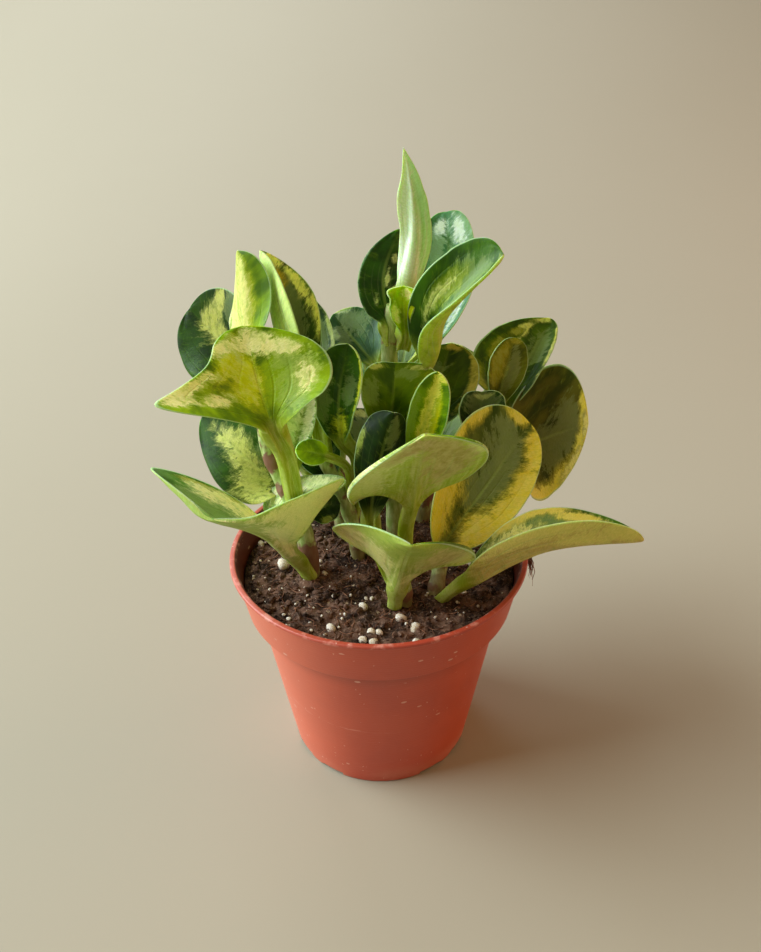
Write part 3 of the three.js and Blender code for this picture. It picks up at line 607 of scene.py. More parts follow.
# A leaf's rib runs from its stem to its tip, and its blade starts at the rib's point of number
# base. The face is where its middle looks. Each pair is for the left and right half: half is
# its width, fold and curl bend it up from the rib, flap bends it up further out, roll turns its
# margin, and sweep slants it forwards. The shape says how the blade widens and narrows, and a
# lobe is (side, along, length, reach). Funnel and throat close the blade's base round the rib.
# A patch is (across, along, reach across, reach along): across goes from -1 to 1, from margin
# to margin, and along from 0 at the blade's base to 1 at its tip.
leaves = {
    "low_left": dict(
        stem="left_stem", rib=[(-27, -8, 86), (-32, -12, 99), (-42, -26, 120), (-55, -42, 137)],
        half=(21, 33.5), face=(0.1, 0.7, 0.7), fold=(5, 48), curl=(0, -10), flap=(36, 0),
        sweep=(-0.6, 0.55), shape=(1.6, 0.45), funnel=70, throat=2.2, lobe=(0, 0.7, 0.2, 17),
        green="#6f9a50", pale="#f8f4c4", below="#adc272",
        cream=[(0.73, 0.57, 0.16, 0.14), (0.69, 0.4, 0.24, 0.18), (0.91, 0.24, 0.2, 0.14),
            (-0.62, 0.6, 0.3, 0.36), (-0.3, 0.42, 0.16, 0.34), (0.2, 0.25, 0.16, 0.1),
            (-0.85, 0.75, 0.14, 0.16)], grey=[(0.51, 0.55, 0.35, 0.4), (-0.5, 0.5, 0.7, 0.5)],
        yellow=[(0.86, 0.58, 0.07, 0.12), (0.84, 0.4, 0.1, 0.16)]),
    "big_front": dict(
        stem="left_stem", base=2,
        rib=[(-31, -5, 116), (-32, -16, 145), (-35, -24, 161), (-40, -16, 177), (-45, -6, 191)],
        half=(13.5, 25.5), face=(0.2, -0.8, 0.6), fold=(17, 10), curl=(-5, -5), sweep=(0, -0.3),
        shape=(0.75, 0.42), stalk=3, lobe=(0, 0.385, 0.19, 26), green="#93b416", pale="#eef0b0",
        below="#b9d468", golden="#c9d236",
        cream=[(0.11, 0.83, 0.48, 0.13), (0.5, 0.8, 0.22, 0.09), (-0.84, 0.52, 0.25, 0.09),
            (-0.78, 0.41, 0.16, 0.07), (-0.71, 0.83, 0.31, 0.08), (0.66, 0.5, 0.14, 0.14),
            (-0.5, 0.34, 0.2, 0.05)], grey=[(0.54, 0.45, 0.36, 0.3), (0.45, 0.68, 0.3, 0.16)],
        yellow=[(-0.42, 0.7, 0.32, 0.19), (-0.12, 0.5, 0.16, 0.26)]),
    "low_inner": dict(
        stem="left_stem", rib=[(-29, -5, 101), (-40, -5, 112), (-35, -4, 120), (-12, -6, 129)],
        half=(8.5, 8.5), face=(-0.25, -0.15, 0.95), fold=(14, 10), shape=(0.5, 0.5), stalk=2, throat=2,
        green="#86a55c", pale="#e0e8ae", below="#9db562",
        cream=[(-0.5, 0.6, 0.5, 0.4), (0.7, 0.85, 0.4, 0.15)], grey=[(0.3, 0.4, 0.4, 0.3)]),
    "low_shaded": dict(
        stem="left_stem", rib=[(-31, -4, 108), (-28, 0, 110), (-23, 1, 113), (-15, -1, 116)], half=(7.5, 7),
        face=(0, -0.9, 0.4), shape=(0.5, 0.45), stalk=2, green="#2b4718", pale="#a9b866", below="#7d9a55",
        cream=[(0.8, 0.6, 0.2, 0.2)], grey=[(-0.3, 0.5, 0.4, 0.3)]),
    "round_left": dict(
        stem="left_stem", rib=[(-33, -2, 113), (-37, 4, 120), (-52, 6, 134), (-69, 18, 145)],
        half=(16, 15.5), face=(-0.1, -0.8, 0.6), fold=(-16, -18), sweep=(-0.2, -0.1), shape=(0.5, 0.5),
        roll=(-80, 0), green="#35581a", pale="#d2d587", below="#7f9a5c",
        cream=[(0.11, 0.67, 0.34, 0.17), (-0.05, 0.5, 0.34, 0.15), (-0.41, 0.3, 0.55, 0.16),
            (-0.8, 0.12, 0.5, 0.12)], grey=[(0.14, 0.39, 0.61, 0.15)]),
    "far_left": dict(
        stem="left_stem", rib=[(-42, 10, 154), (-46, 14, 160), (-58, 22, 173), (-71, 30, 185)],
        half=(18.5, 16.5), face=(-0.1, -0.9, 0.5), fold=(-11, -12), sweep=(0, 0.4), shape=(0.7, 0.5),
        roll=(-80, 0), green="#2f5212", pale="#cfd283", below="#7f9a5c",
        cream=[(0.25, 0.74, 0.42, 0.1), (0.73, 0.76, 0.27, 0.07), (0.1, 0.6, 0.2, 0.12)],
        grey=[(0.71, 0.61, 0.33, 0.16)]),
    "upright_left": dict(
        stem="left_stem", rib=[(-43, 12, 166), (-45, 8, 177), (-47, 6, 187), (-47, 10, 212)],
        half=(16, 13.5), face=(-0.8, -0.6, 0.1), fold=(-35, -39), sweep=(0.25, 0.35), shape=(1.1, 0.65),
        green="#86a82a", pale="#dad88e", below="#94b44e", golden="#bcbc4e",
        cream=[(-0.6, 0.6, 0.5, 0.6), (0.1, 0.72, 0.26, 0.34), (0.1, 0.4, 0.3, 0.3)],
        yellow=[(0.2, 0.6, 0.3, 0.4), (-0.1, 0.85, 0.4, 0.2)]),
    "folded_left": dict(
        stem="left_stem", rib=[(-43, 6, 149), (-32, 10, 162), (-36, 12, 190), (-40, 18, 210)],
        half=(18, 21), face=(1, -0.1, 0.2), fold=(42, 40), curl=(0, 0), sweep=(0.2, 0.2), shape=(0.6, 0.9),
        green="#4a6c20", pale="#eef09c", below="#d6f09e",
        cream=[(0.82, 0.6, 0.12, 0.24), (0.94, 0.35, 0.12, 0.12), (0.69, 0.9, 0.3, 0.08)],
        grey=[(0.45, 0.5, 0.3, 0.4)], yellow=[(0.3, 0.75, 0.3, 0.12)]),
    "slim_left": dict(
        stem="left_stem", rib=[(-35, 0, 122), (-32, 2, 136), (-29, 0, 149), (-24, -3, 167)],
        half=(5.5, 5.5), face=(0, -1, 0), shape=(0.8, 0.6), green="#7fa83c", pale="#e6eecb",
        below="#dfe9c0", cream=[(-0.45, 0.6, 0.5, 0.6), (0.55, 0.6, 0.4, 0.55)]),
    "back_left": dict(
        stem="left_stem", rib=[(-41, 3, 137), (-44, 18, 147), (-51, 36, 151), (-62, 52, 147)],
        half=(15, 15), face=(-0.2, -0.2, 1), green="#38602f", pale="#d3da9c", below="#8ba65c",
        cream=[(-0.9, 0.5, 0.4, 0.35), (0.85, 0.7, 0.4, 0.2)], grey=[(0.2, 0.5, 0.5, 0.3)]),
    "dark_back": dict(
        stem="centre_stem", rib=[(-21, 8, 130), (-23, 10, 153), (-25, 25, 172), (-31, 38, 189)],
        half=(9.5, 9.5), face=(-0.1, -0.8, 0.6), fold=(-7, -6), sweep=(0, -0.2), shape=(0.7, 0.5), stalk=3,
        green="#27491a", pale="#b4c07c", below="#7d9a55",
        cream=[(-0.95, 0.45, 0.14, 0.14), (0.95, 0.6, 0.14, 0.16)], grey=[(0.4, 0.6, 0.4, 0.3)]),
    "dark_folded": dict(
        stem="centre_stem", base=2,
        rib=[(-11, 8, 101), (-8, 12, 127), (-14, 8, 139), (-14, 6, 159), (-10, 4, 180)], half=(11, 11),
        face=(-0.2, -0.9, 0.3), fold=(35, 35), shape=(0.7, 0.42), green="#3a6410", pale="#cfd658",
        below="#9dbb58", cream=[(0.2, 0.17, 0.5, 0.14), (0.95, 0.8, 0.12, 0.3)],
        grey=[(-0.7, 0.5, 0.4, 0.3), (0.4, 0.6, 0.3, 0.2)]),
    "tiny_round": dict(
        stem="centre_stem", base=2, rib=[(-11, 8, 112), (-11, 4, 129), (-19, -2, 138), (-30, -6, 143)],
        half=(5, 5), face=(0, -0.8, 0.6), shape=(0.5, 0.5), stalk=1.4, funnel=30, green="#b2d440",
        pale="#c6e06c", below="#a8c860"),
    "shaded": dict(
        stem="centre_stem", rib=[(-14, 9, 111), (-18, 16, 117), (-25, 20, 131), (-30, 22, 146)],
        half=(10, 9.5), face=(0.1, -1, 0.2), fold=(-17, -18), sweep=(-0.1, -0.1), shape=(0.7, 0.5),
        green="#2b4a20", pale="#a9b878", below="#6f8a4a", cream=[(-0.7, 0.6, 0.3, 0.2)],
        grey=[(0.3, 0.4, 0.4, 0.3)]),
    "low_front": dict(
        stem="front_stem", rib=[(6, -27, 87), (7, -32, 100), (9, -42, 118), (11, -54, 134)],
        half=(28.5, 29.5), face=(0.2, 0.8, 0.6), fold=(37, 35), curl=(-25, -25), sweep=(-0.3, -0.3),
        shape=(0.8, 0.5), throat=2.5, roll=(-95, -40), green="#6d8c38", pale="#e4e2a2", below="#9fae5c",
        golden="#c9ba7e",
        cream=[(0.9, 0.43, 0.2, 0.15), (-0.8, 0.5, 0.2, 0.2), (0.4, 0.4, 0.2, 0.3), (-0.3, 0.2, 0.2, 0.1)],
        grey=[(0.3, 0.6, 0.3, 0.3), (-0.6, 0.8, 0.3, 0.1)],
        yellow=[(-0.5, 0.6, 0.3, 0.25), (0.74, 0.59, 0.25, 0.2)]),
    "cupped_front": dict(
        stem="front_stem", base=2,
        rib=[(10, -18, 101), (10, -18, 117), (12, -22, 131), (14, -33, 153), (15, -42, 168)], half=(25, 27),
        face=(-0.1, 0.8, 0.5), fold=(-8, -14), curl=(10, 20), sweep=(-0.1, -0.8), shape=(0.5, 0.3),
        funnel=20, roll=(-110, -120), green="#8fae44", pale="#e8ebb4", below="#c2d272", golden="#d2c384",
        cream=[(0.75, 0.6, 0.35, 0.3), (0.3, 0.8, 0.3, 0.12), (0.6, 0.9, 0.5, 0.12),
            (-0.45, 0.35, 0.16, 0.2), (-0.8, 0.8, 0.16, 0.1)],
        grey=[(-0.7, 0.5, 0.3, 0.3), (0.1, 0.6, 0.12, 0.3)],
        yellow=[(-0.4, 0.61, 0.35, 0.4), (0.1, 0.85, 0.4, 0.12)]),
    "dark_inner": dict(
        stem="front_stem", base=2,
        rib=[(7, -22, 89), (0, -12, 101), (-3, -8, 113), (1, -8, 139), (6, -7, 158)], half=(11, 11),
        face=(0.1, -0.9, 0.3), fold=(-48, -51), shape=(0.85, 0.45), green="#1f3a10", pale="#a9b866",
        below="#a3b88a", cream=[(-0.9, 0.62, 0.12, 0.12)], grey=[(0.3, 0.8, 0.3, 0.2)]),
    "long_right": dict(
        stem="front_right_stem", rib=[(22, -21, 84), (33, -28, 100), (61, -30, 115), (97, -26, 115)],
        half=(22.5, 17), face=(-0.1, 0.4, 0.9), fold=(34, 48), curl=(0, 0), sweep=(-0.1, -0.5),
        shape=(0.8, 0.5), green="#4a6a1f", pale="#dfd98a", below="#c4b374", golden="#d9c76a",
        cream=[(0.7, 0.9, 0.4, 0.1), (0.9, 0.5, 0.3, 0.25), (-0.2, 0.95, 0.3, 0.06),
            (-0.5, 0.3, 0.3, 0.2), (0.4, 0.7, 0.25, 0.12)],
        grey=[(0.2, 0.5, 0.3, 0.3), (-0.6, 0.6, 0.4, 0.3)],
        yellow=[(-0.94, 0.54, 0.1, 0.2), (-0.9, 0.36, 0.14, 0.14), (-0.76, 0.75, 0.12, 0.12)]),
    "golden_right": dict(
        stem="front_right_stem", rib=[(24, -14, 90), (24, -12, 101), (41, -5, 125), (58, 5, 147)],
        half=(22.5, 16.5), face=(0.1, -0.9, 0.3), fold=(-3, -2), sweep=(0.3, -0.1), shape=(0.65, 0.48),
        green="#6f7a3c", pale="#f6efac", below="#a9a262", golden="#f4e268",
        grey=[(-0.02, 0.77, 0.5, 0.14), (-0.44, 0.85, 0.3, 0.08), (0.1, 0.6, 0.4, 0.22),
            (-0.1, 0.45, 0.3, 0.12)],
        yellow=[(-0.6, 0.98, 0.5, 0.05), (0.7, 0.9, 0.42, 0.11), (0.84, 0.68, 0.38, 0.15),
            (0.84, 0.46, 0.4, 0.17), (0.6, 0.26, 0.5, 0.14), (-0.96, 0.74, 0.16, 0.1),
            (-0.85, 0.3, 0.5, 0.16), (-0.7, 0.12, 0.5, 0.14), (-0.97, 0.5, 0.14, 0.2)]),
    "spear": dict(
        stem="tall_stem", rib=[(10, 20, 173), (11, 20, 194), (14, 22, 212), (13, 22, 229), (10, 20, 243)],
        half=(6.4, 4.7), face=(0, 1, 0.2), fold=(-8, -12), sweep=(0, 0.1), shape=(0.3, 0.85),
        lobe=(1, 0.6, 0.16, 2), green="#a4d674", pale="#ecf8e6", below="#c8efb8",
        cream=[(0.5, 0.53, 0.55, 0.4), (0.2, 0.85, 0.6, 0.16), (0.2, 0.12, 0.6, 0.14)]),
    "upper_left": dict(
        stem="tall_stem", rib=[(6, 18, 174), (5, 18, 182), (3, 24, 198), (9, 34, 213)], half=(9.5, 15.5),
        face=(0.4, -0.8, 0.4), fold=(-21, -15), sweep=(-0.7, 0.1), shape=(0.6, 0.55), roll=(-80, 0),
        green="#2f5519", pale="#c9d09a", below="#7f9a5c",
        cream=[(0.2, 0.72, 0.1, 0.04), (0.3, 0.33, 0.1, 0.08), (-0.35, 0.34, 0.12, 0.04),
            # The grey band along the left margin is a painted reflection of the light on the rolled edge.
            (0.1, 0.5, 0.06, 0.1)], grey=[(-1.05, 0.5, 0.14, 0.5)]),
    "upper_back": dict(
        stem="tall_stem", rib=[(8, 21, 158), (21, 30, 169), (28, 40, 190), (28, 52, 215)], half=(11.5, 11),
        face=(-0.2, -0.9, 0.4), fold=(4, 4), sweep=(0, 0.2), shape=(0.6, 0.38), green="#689a72",
        pale="#dff0e0", below="#9dbb9a",
        cream=[(0.5, 0.85, 0.3, 0.1), (-0.3, 0.9, 0.3, 0.05), (0.6, 0.3, 0.2, 0.2)],
        grey=[(0.7, 0.86, 0.4, 0.14), (-0.41, 0.75, 0.32, 0.14), (0.2, 0.5, 0.3, 0.3)]),
    "upper_right": dict(
        stem="tall_stem", rib=[(7, 18, 151), (18, 12, 170), (22, 4, 189), (32, 2, 201), (43, 2, 212)],
        half=(15.5, 9.5), face=(-0.7, -0.3, 0.7), fold=(36, 37), curl=(0, 0), sweep=(0.3, -0.8),
        shape=(0.5, 0.42), funnel=85, throat=2, green="#446c1e", pale="#c3cc7c", below="#bfd25e",
        golden="#7f9428", cream=[(0.7, 0.98, 0.6, 0.03), (-0.45, 0.42, 0.12, 0.2)],
        grey=[(-0.1, 0.68, 0.5, 0.2), (0.3, 0.35, 0.4, 0.3)], yellow=[(-0.4, 0.5, 0.24, 0.2)]),
    "young_sheath": dict(
        stem="tall_stem", rib=[(10, 17, 172), (11, 15, 179), (10, 13, 189), (10, 13, 198)], half=(7.5, 6),
        face=(0, -1, 0), fold=(40, 40), shape=(1.1, 0.25), crinkle=3, green="#c4e044", pale="#f2f6ac",
        below="#b4d46a", cream=[(0.3, 0.85, 0.3, 0.12), (-0.6, 0.5, 0.3, 0.2)]),
    "mid_left": dict(
        stem="tall_stem", rib=[(5, 22, 149), (-1, 28, 162), (-10, 36, 171), (-17, 42, 178)], half=(8, 13),
        face=(0, -0.7, 0.7), fold=(-4, -4), sweep=(-0.2, 0), shape=(0.6, 0.5), roll=(-30, 0),
        green="#456a48", pale="#bccda6", below="#8fa97a",
        cream=[(0.7, 0.95, 0.4, 0.07), (-0.6, 0.7, 0.2, 0.1)],
        grey=[(0.41, 0.7, 0.5, 0.25), (-0.4, 0.6, 0.4, 0.2)]),
    "mid_right": dict(
        stem="tall_stem", rib=[(8, 19, 131), (16, 20, 141), (24, 21, 158), (29, 24, 172)], half=(13, 15),
        face=(-0.1, -0.9, 0.3), fold=(-5, -4), sweep=(-0.3, 0.2), shape=(0.45, 0.5), green="#4f681a",
        pale="#c3b964", below="#93a05a", golden="#b9ac58", cream=[(0.9, 0.5, 0.12, 0.2)],
        grey=[(-0.3, 0.5, 0.4, 0.3)],
        yellow=[(0.9, 0.65, 0.14, 0.3), (0.1, 0.97, 0.5, 0.05), (-0.9, 0.85, 0.2, 0.08)]),
    "olive_inner": dict(
        stem="tall_stem", rib=[(6, 17, 123), (5, 10, 141), (6, 6, 157), (7, 8, 171)], half=(12.5, 17.5),
        face=(0.1, -1, 0.1), fold=(4, 2), sweep=(0.1, 0.1), shape=(0.6, 0.33), green="#708f24",
        pale="#cfd582", below="#98a54c", golden="#b2b03a",
        cream=[(-0.8, 0.92, 0.3, 0.04), (0.7, 0.92, 0.3, 0.03)],
        grey=[(-0.7, 0.6, 0.3, 0.2), (0.3, 0.85, 0.3, 0.08)], yellow=[(0.8, 0.5, 0.3, 0.3)]),
    "striped_inner": dict(
        stem="tall_stem", rib=[(7, 17, 106), (13, 6, 131), (18, 1, 151), (22, -1, 171)], half=(8, 9),
        face=(-0.2, -0.9, 0.3), fold=(40, 20), shape=(0.6, 0.5), green="#86ae1e", pale="#ecec7c",
        below="#9fb85c", golden="#cdd040",
        cream=[(0.0, 0.5, 0.3, 0.5), (0.6, 0.97, 0.5, 0.05), (0.1, 0.85, 0.3, 0.14)],
        grey=[(-0.78, 0.45, 0.3, 0.4)], yellow=[(0.35, 0.5, 0.22, 0.34)]),
    "mid_back": dict(
        stem="tall_stem", rib=[(5, 21, 138), (9, 33, 151), (12, 49, 159), (15, 66, 157)], half=(14, 14),
        face=(0, -0.3, 1), green="#3a6432", pale="#d0d89c", below="#8aa55e",
        cream=[(-0.85, 0.6, 0.4, 0.25), (0.9, 0.4, 0.35, 0.25)], grey=[(0, 0.6, 0.4, 0.3)]),
    "bronze_right": dict(
        stem="right_stem", rib=[(44, 20, 118), (53, 22, 124), (70, 24, 131), (85, 22, 138)],
        half=(27.5, 24), face=(-0.2, -0.8, 0.5), fold=(2, 3), sweep=(0.3, -0.5), shape=(0.6, 0.5),
        green="#6b6a28", pale="#f4eda0", below="#8d8a4a", golden="#f4e878",
        cream=[(0.1, 0.98, 0.5, 0.04), (0.85, 0.86, 0.2, 0.1)],
        grey=[(-0.05, 0.78, 0.5, 0.2), (0.2, 0.6, 0.4, 0.24), (0.1, 0.4, 0.3, 0.2)],
        yellow=[(-0.5, 0.97, 0.5, 0.07), (0.4, 0.97, 0.6, 0.09), (0.88, 0.8, 0.3, 0.2),
            (0.96, 0.5, 0.2, 0.3), (0.8, 0.2, 0.4, 0.14)]),
    "streaked_right": dict(
        stem="right_stem", rib=[(44, 22, 131), (51, 28, 142), (60, 34, 159), (69, 40, 176)], half=(23, 7.5),
        face=(0.1, -0.9, 0.3), fold=(7, 23), curl=(8, 25), sweep=(-0.4, 0.2), shape=(0.6, 0.42),
        green="#5a7c1c", pale="#e0e48c", below="#7f9650", golden="#9aa43a",
        cream=[(-0.08, 0.98, 0.5, 0.03), (0.92, 0.7, 0.08, 0.3), (-0.5, 0.9, 0.12, 0.03),
            (-0.3, 0.8, 0.05, 0.14)], grey=[(0.3, 0.7, 0.4, 0.2), (-0.2, 0.45, 0.2, 0.2)],
        yellow=[(-0.49, 0.85, 0.16, 0.06), (-0.65, 0.65, 0.12, 0.14), (-0.85, 0.32, 0.1, 0.16)]),
    "small_right": dict(
        stem="right_stem", rib=[(43, 19, 122), (47, 20, 148), (50, 20, 162), (53, 24, 174)],
        half=(7.5, 7.5), face=(0.1, -1, 0.2), fold=(0, 0), sweep=(0, 0.2), shape=(0.6, 0.5),
        green="#6d7426", pale="#c9cc7c", below="#8a9656", golden="#98942e", grey=[(0.3, 0.5, 0.3, 0.5)],
        yellow=[(-0.5, 0.6, 0.4, 0.4), (0.15, 0.96, 0.7, 0.05)]),
    "mottled_inner": dict(
        stem="right_stem", rib=[(44, 20, 120), (41, 13, 134), (40, 11, 146), (40, 12, 157)],
        half=(9.5, 9.5), face=(0.1, -1, 0), fold=(16, 16), sweep=(0.4, 0.4), shape=(0.6, 0.45),
        green="#3c5a2c", pale="#b9c48c", below="#8a9c70", cream=[(0.06, 0.9, 0.6, 0.05)],
        grey=[(0.06, 0.8, 0.9, 0.25)]),
    "back_right": dict(
        stem="right_stem", rib=[(43, 20, 116), (47, 32, 128), (57, 45, 134), (72, 56, 131)], half=(15, 15),
        face=(-0.1, -0.2, 1), green="#4a6a2a", pale="#d2cf86", below="#8f9c55",
        cream=[(0.85, 0.5, 0.4, 0.35), (-0.8, 0.75, 0.4, 0.15)], grey=[(-0.3, 0.4, 0.4, 0.3)]),
    "rear_far_left": dict(
        stem="rear_left_stem", rib=[(-16, 24, 98), (-28, 33, 110), (-48, 46, 122), (-72, 54, 119)],
        half=(20, 21), face=(-0.3, 0.1, 1), green="#345e30", pale="#d5dba0", below="#8ba660",
        cream=[(-0.85, 0.55, 0.45, 0.3), (0.3, 0.85, 0.4, 0.12), (0.9, 0.35, 0.3, 0.2)],
        grey=[(0.3, 0.5, 0.4, 0.25)]),
    "rear_left": dict(
        stem="rear_left_stem", rib=[(-17, 28, 110), (-22, 44, 123), (-30, 62, 132), (-41, 84, 128)],
        half=(21, 21), face=(0, -0.2, 1), green="#3d6a2c", pale="#d8dc98", below="#90aa5c",
        cream=[(-0.7, 0.75, 0.4, 0.2), (0.75, 0.5, 0.4, 0.3), (-0.95, 0.35, 0.2, 0.2)],
        grey=[(-0.3, 0.5, 0.3, 0.35)], yellow=[(0.85, 0.75, 0.2, 0.15)]),
    "rear_high": dict(
        stem="rear_left_stem", rib=[(-15, 35, 127), (-14, 46, 142), (-14, 60, 152), (-14, 76, 154)],
        half=(17, 17), face=(0, -0.6, 0.8), green="#456f26", pale="#d9da86", below="#93ac55",
        cream=[(-0.8, 0.5, 0.35, 0.35), (0.5, 0.88, 0.4, 0.1)], grey=[(0.4, 0.45, 0.35, 0.3)],
        yellow=[(-0.85, 0.75, 0.2, 0.14)]),
    "rear_low": dict(
        stem="rear_left_stem", rib=[(-16, 25, 102), (-6, 36, 110), (-2, 50, 120), (-1, 68, 122)],
        half=(15, 15), face=(0.2, -0.4, 1), green="#2f5830", pale="#ccd59c", below="#839e5c",
        cream=[(0.75, 0.6, 0.35, 0.3), (-0.6, 0.85, 0.3, 0.1)], grey=[(-0.4, 0.5, 0.4, 0.3)]),
    "rear_right": dict(
        stem="rear_right_stem", rib=[(21, 36, 98), (26, 50, 110), (31, 66, 118), (36, 86, 114)],
        half=(20, 20), face=(0, 0.1, 1), green="#44682a", pale="#d6d48a", below="#8f9e55",
        cream=[(-0.8, 0.6, 0.4, 0.3), (0.8, 0.75, 0.35, 0.2)], grey=[(0.3, 0.45, 0.4, 0.3)],
        yellow=[(0.9, 0.45, 0.2, 0.25), (-0.9, 0.8, 0.2, 0.14)]),
    "rear_far_right": dict(
        stem="rear_right_stem", rib=[(22, 37, 106), (40, 42, 116), (60, 50, 122), (82, 56, 118)],
        half=(20, 19), face=(0.2, 0.1, 1), green="#5a6c26", pale="#d9cf78", below="#97984f",
        cream=[(0.8, 0.55, 0.35, 0.35), (-0.7, 0.82, 0.35, 0.13)], grey=[(-0.2, 0.5, 0.35, 0.3)],
        yellow=[(0.9, 0.75, 0.3, 0.2), (-0.9, 0.6, 0.2, 0.25)]),
    "rear_top": dict(
        stem="rear_right_stem", rib=[(24, 45, 131), (31, 53, 142), (41, 63, 145), (52, 74, 141)],
        half=(17, 17), face=(-0.2, -0.5, 0.9), green="#3f6630", pale="#d3d890", below="#8ca25a",
        cream=[(-0.85, 0.45, 0.35, 0.35), (0.7, 0.7, 0.4, 0.2)], grey=[(0.1, 0.55, 0.35, 0.3)]),
}
leaf_defaults = dict(
    base=1, fold=(8, 8), curl=(8, 8), flap=(0, 0), sweep=(0, 0), shape=(0.75, 0.5), funnel=60, throat=3,
    stalk=2.4, lobe=None, roll=(0, 0), crinkle=1, golden="#cdb83f", cream=[], grey=[], yellow=[])
blade_thickness = 1.1
thinnest = 0.65
leaf_values = ("place", "span", "marks", "down")
leaf_tints = ("green", "pale", "below", "golden")
tip_width = 0.3
petiole_fold = 30
petiole_rows = 8
blade_rows = 24
column_shares = (0, 0.1, 0.21, 0.33, 0.46, 0.59, 0.71, 0.81, 0.89, 0.95, 1)
half_columns = len(column_shares) - 1
bend_steps = 4


def smooth(value):
    value = min(max(value, 0), 1)
    return value * value * (3 - 2 * value)


def half_width(leaf, side, blade):
    """Width in millimetres of one half of the blade, at a place along it."""
    if blade >= 1:
        return tip_width
    grow, narrow = leaf["shape"]
    widest = grow / (grow + narrow)
    width = leaf["half"][side] * (blade / widest) ** grow * ((1 - blade) / (1 - widest)) ** narrow
    if leaf["lobe"] and leaf["lobe"][0] == side and blade > 0:
        _, middle, length, reach = leaf["lobe"]
        width += reach * math.exp(-((blade - middle) / length) ** 2)
    return math.hypot(width, leaf["stalk"] * (1 - blade) ** 1.5)


def half_section(leaf, side, blade, grown):
    """From the rib to the margin: how far out, how far up, the slope and the thickness, in millimetres."""
    width = half_width(leaf, side, blade)
    half = leaf["half"][side]
    open_fold = leaf["fold"][side] + (leaf["funnel"] - leaf["fold"][side]) * (1 - blade) ** leaf["throat"]
    fold = petiole_fold + (open_fold - petiole_fold) * grown
    keel = 1.45 * leaf["stalk"] * (1 - blade) ** 1.3
    keel_width = max(leaf["stalk"] * (1 - blade) ** 0.8, 0.3)
    thin = (0.35 + 0.65 * min(1, width / 4)) * (0.3 + 0.7 * grown)

    def angle_at(share):
        turned_up = fold * smooth(share / 0.4) + leaf["curl"][side] * share ** 1.5 * min(1, width / half)
        turned_up += leaf["flap"][side] * smooth((share * width / half - 0.38) / 0.2)
        turned_up += leaf["roll"][side] * smooth((share - 0.84) / 0.14) * min(1, 3 * blade)
        return math.radians(turned_up)

    out, up = 0.0, 0.0
    section = []
    for column, share in enumerate(column_shares):
        stride = (share - column_shares[max(column - 1, 0)]) / bend_steps
        for part in range(bend_steps):
            angle = angle_at(share - (part + 0.5) * stride)
            out += math.cos(angle) * width * stride
            up += math.sin(angle) * width * stride
        in_keel = math.sqrt(max(0, 1 - (share * width / keel_width) ** 2))
        depth = max(blade_thickness * (1 - 0.4 * share ** 3) * thin + keel * in_keel, thinnest)
        section.append((out, up, angle_at(share), depth, width))
    return section


def patched(patches, across, along):
    """1 in the middle of a patch, 0 at its border and down to -1 away from it."""
    reach = [1 - math.hypot((across - u) / wide, (along - v) / long) for u, v, wide, long in patches]
    return max(reach + [-1])


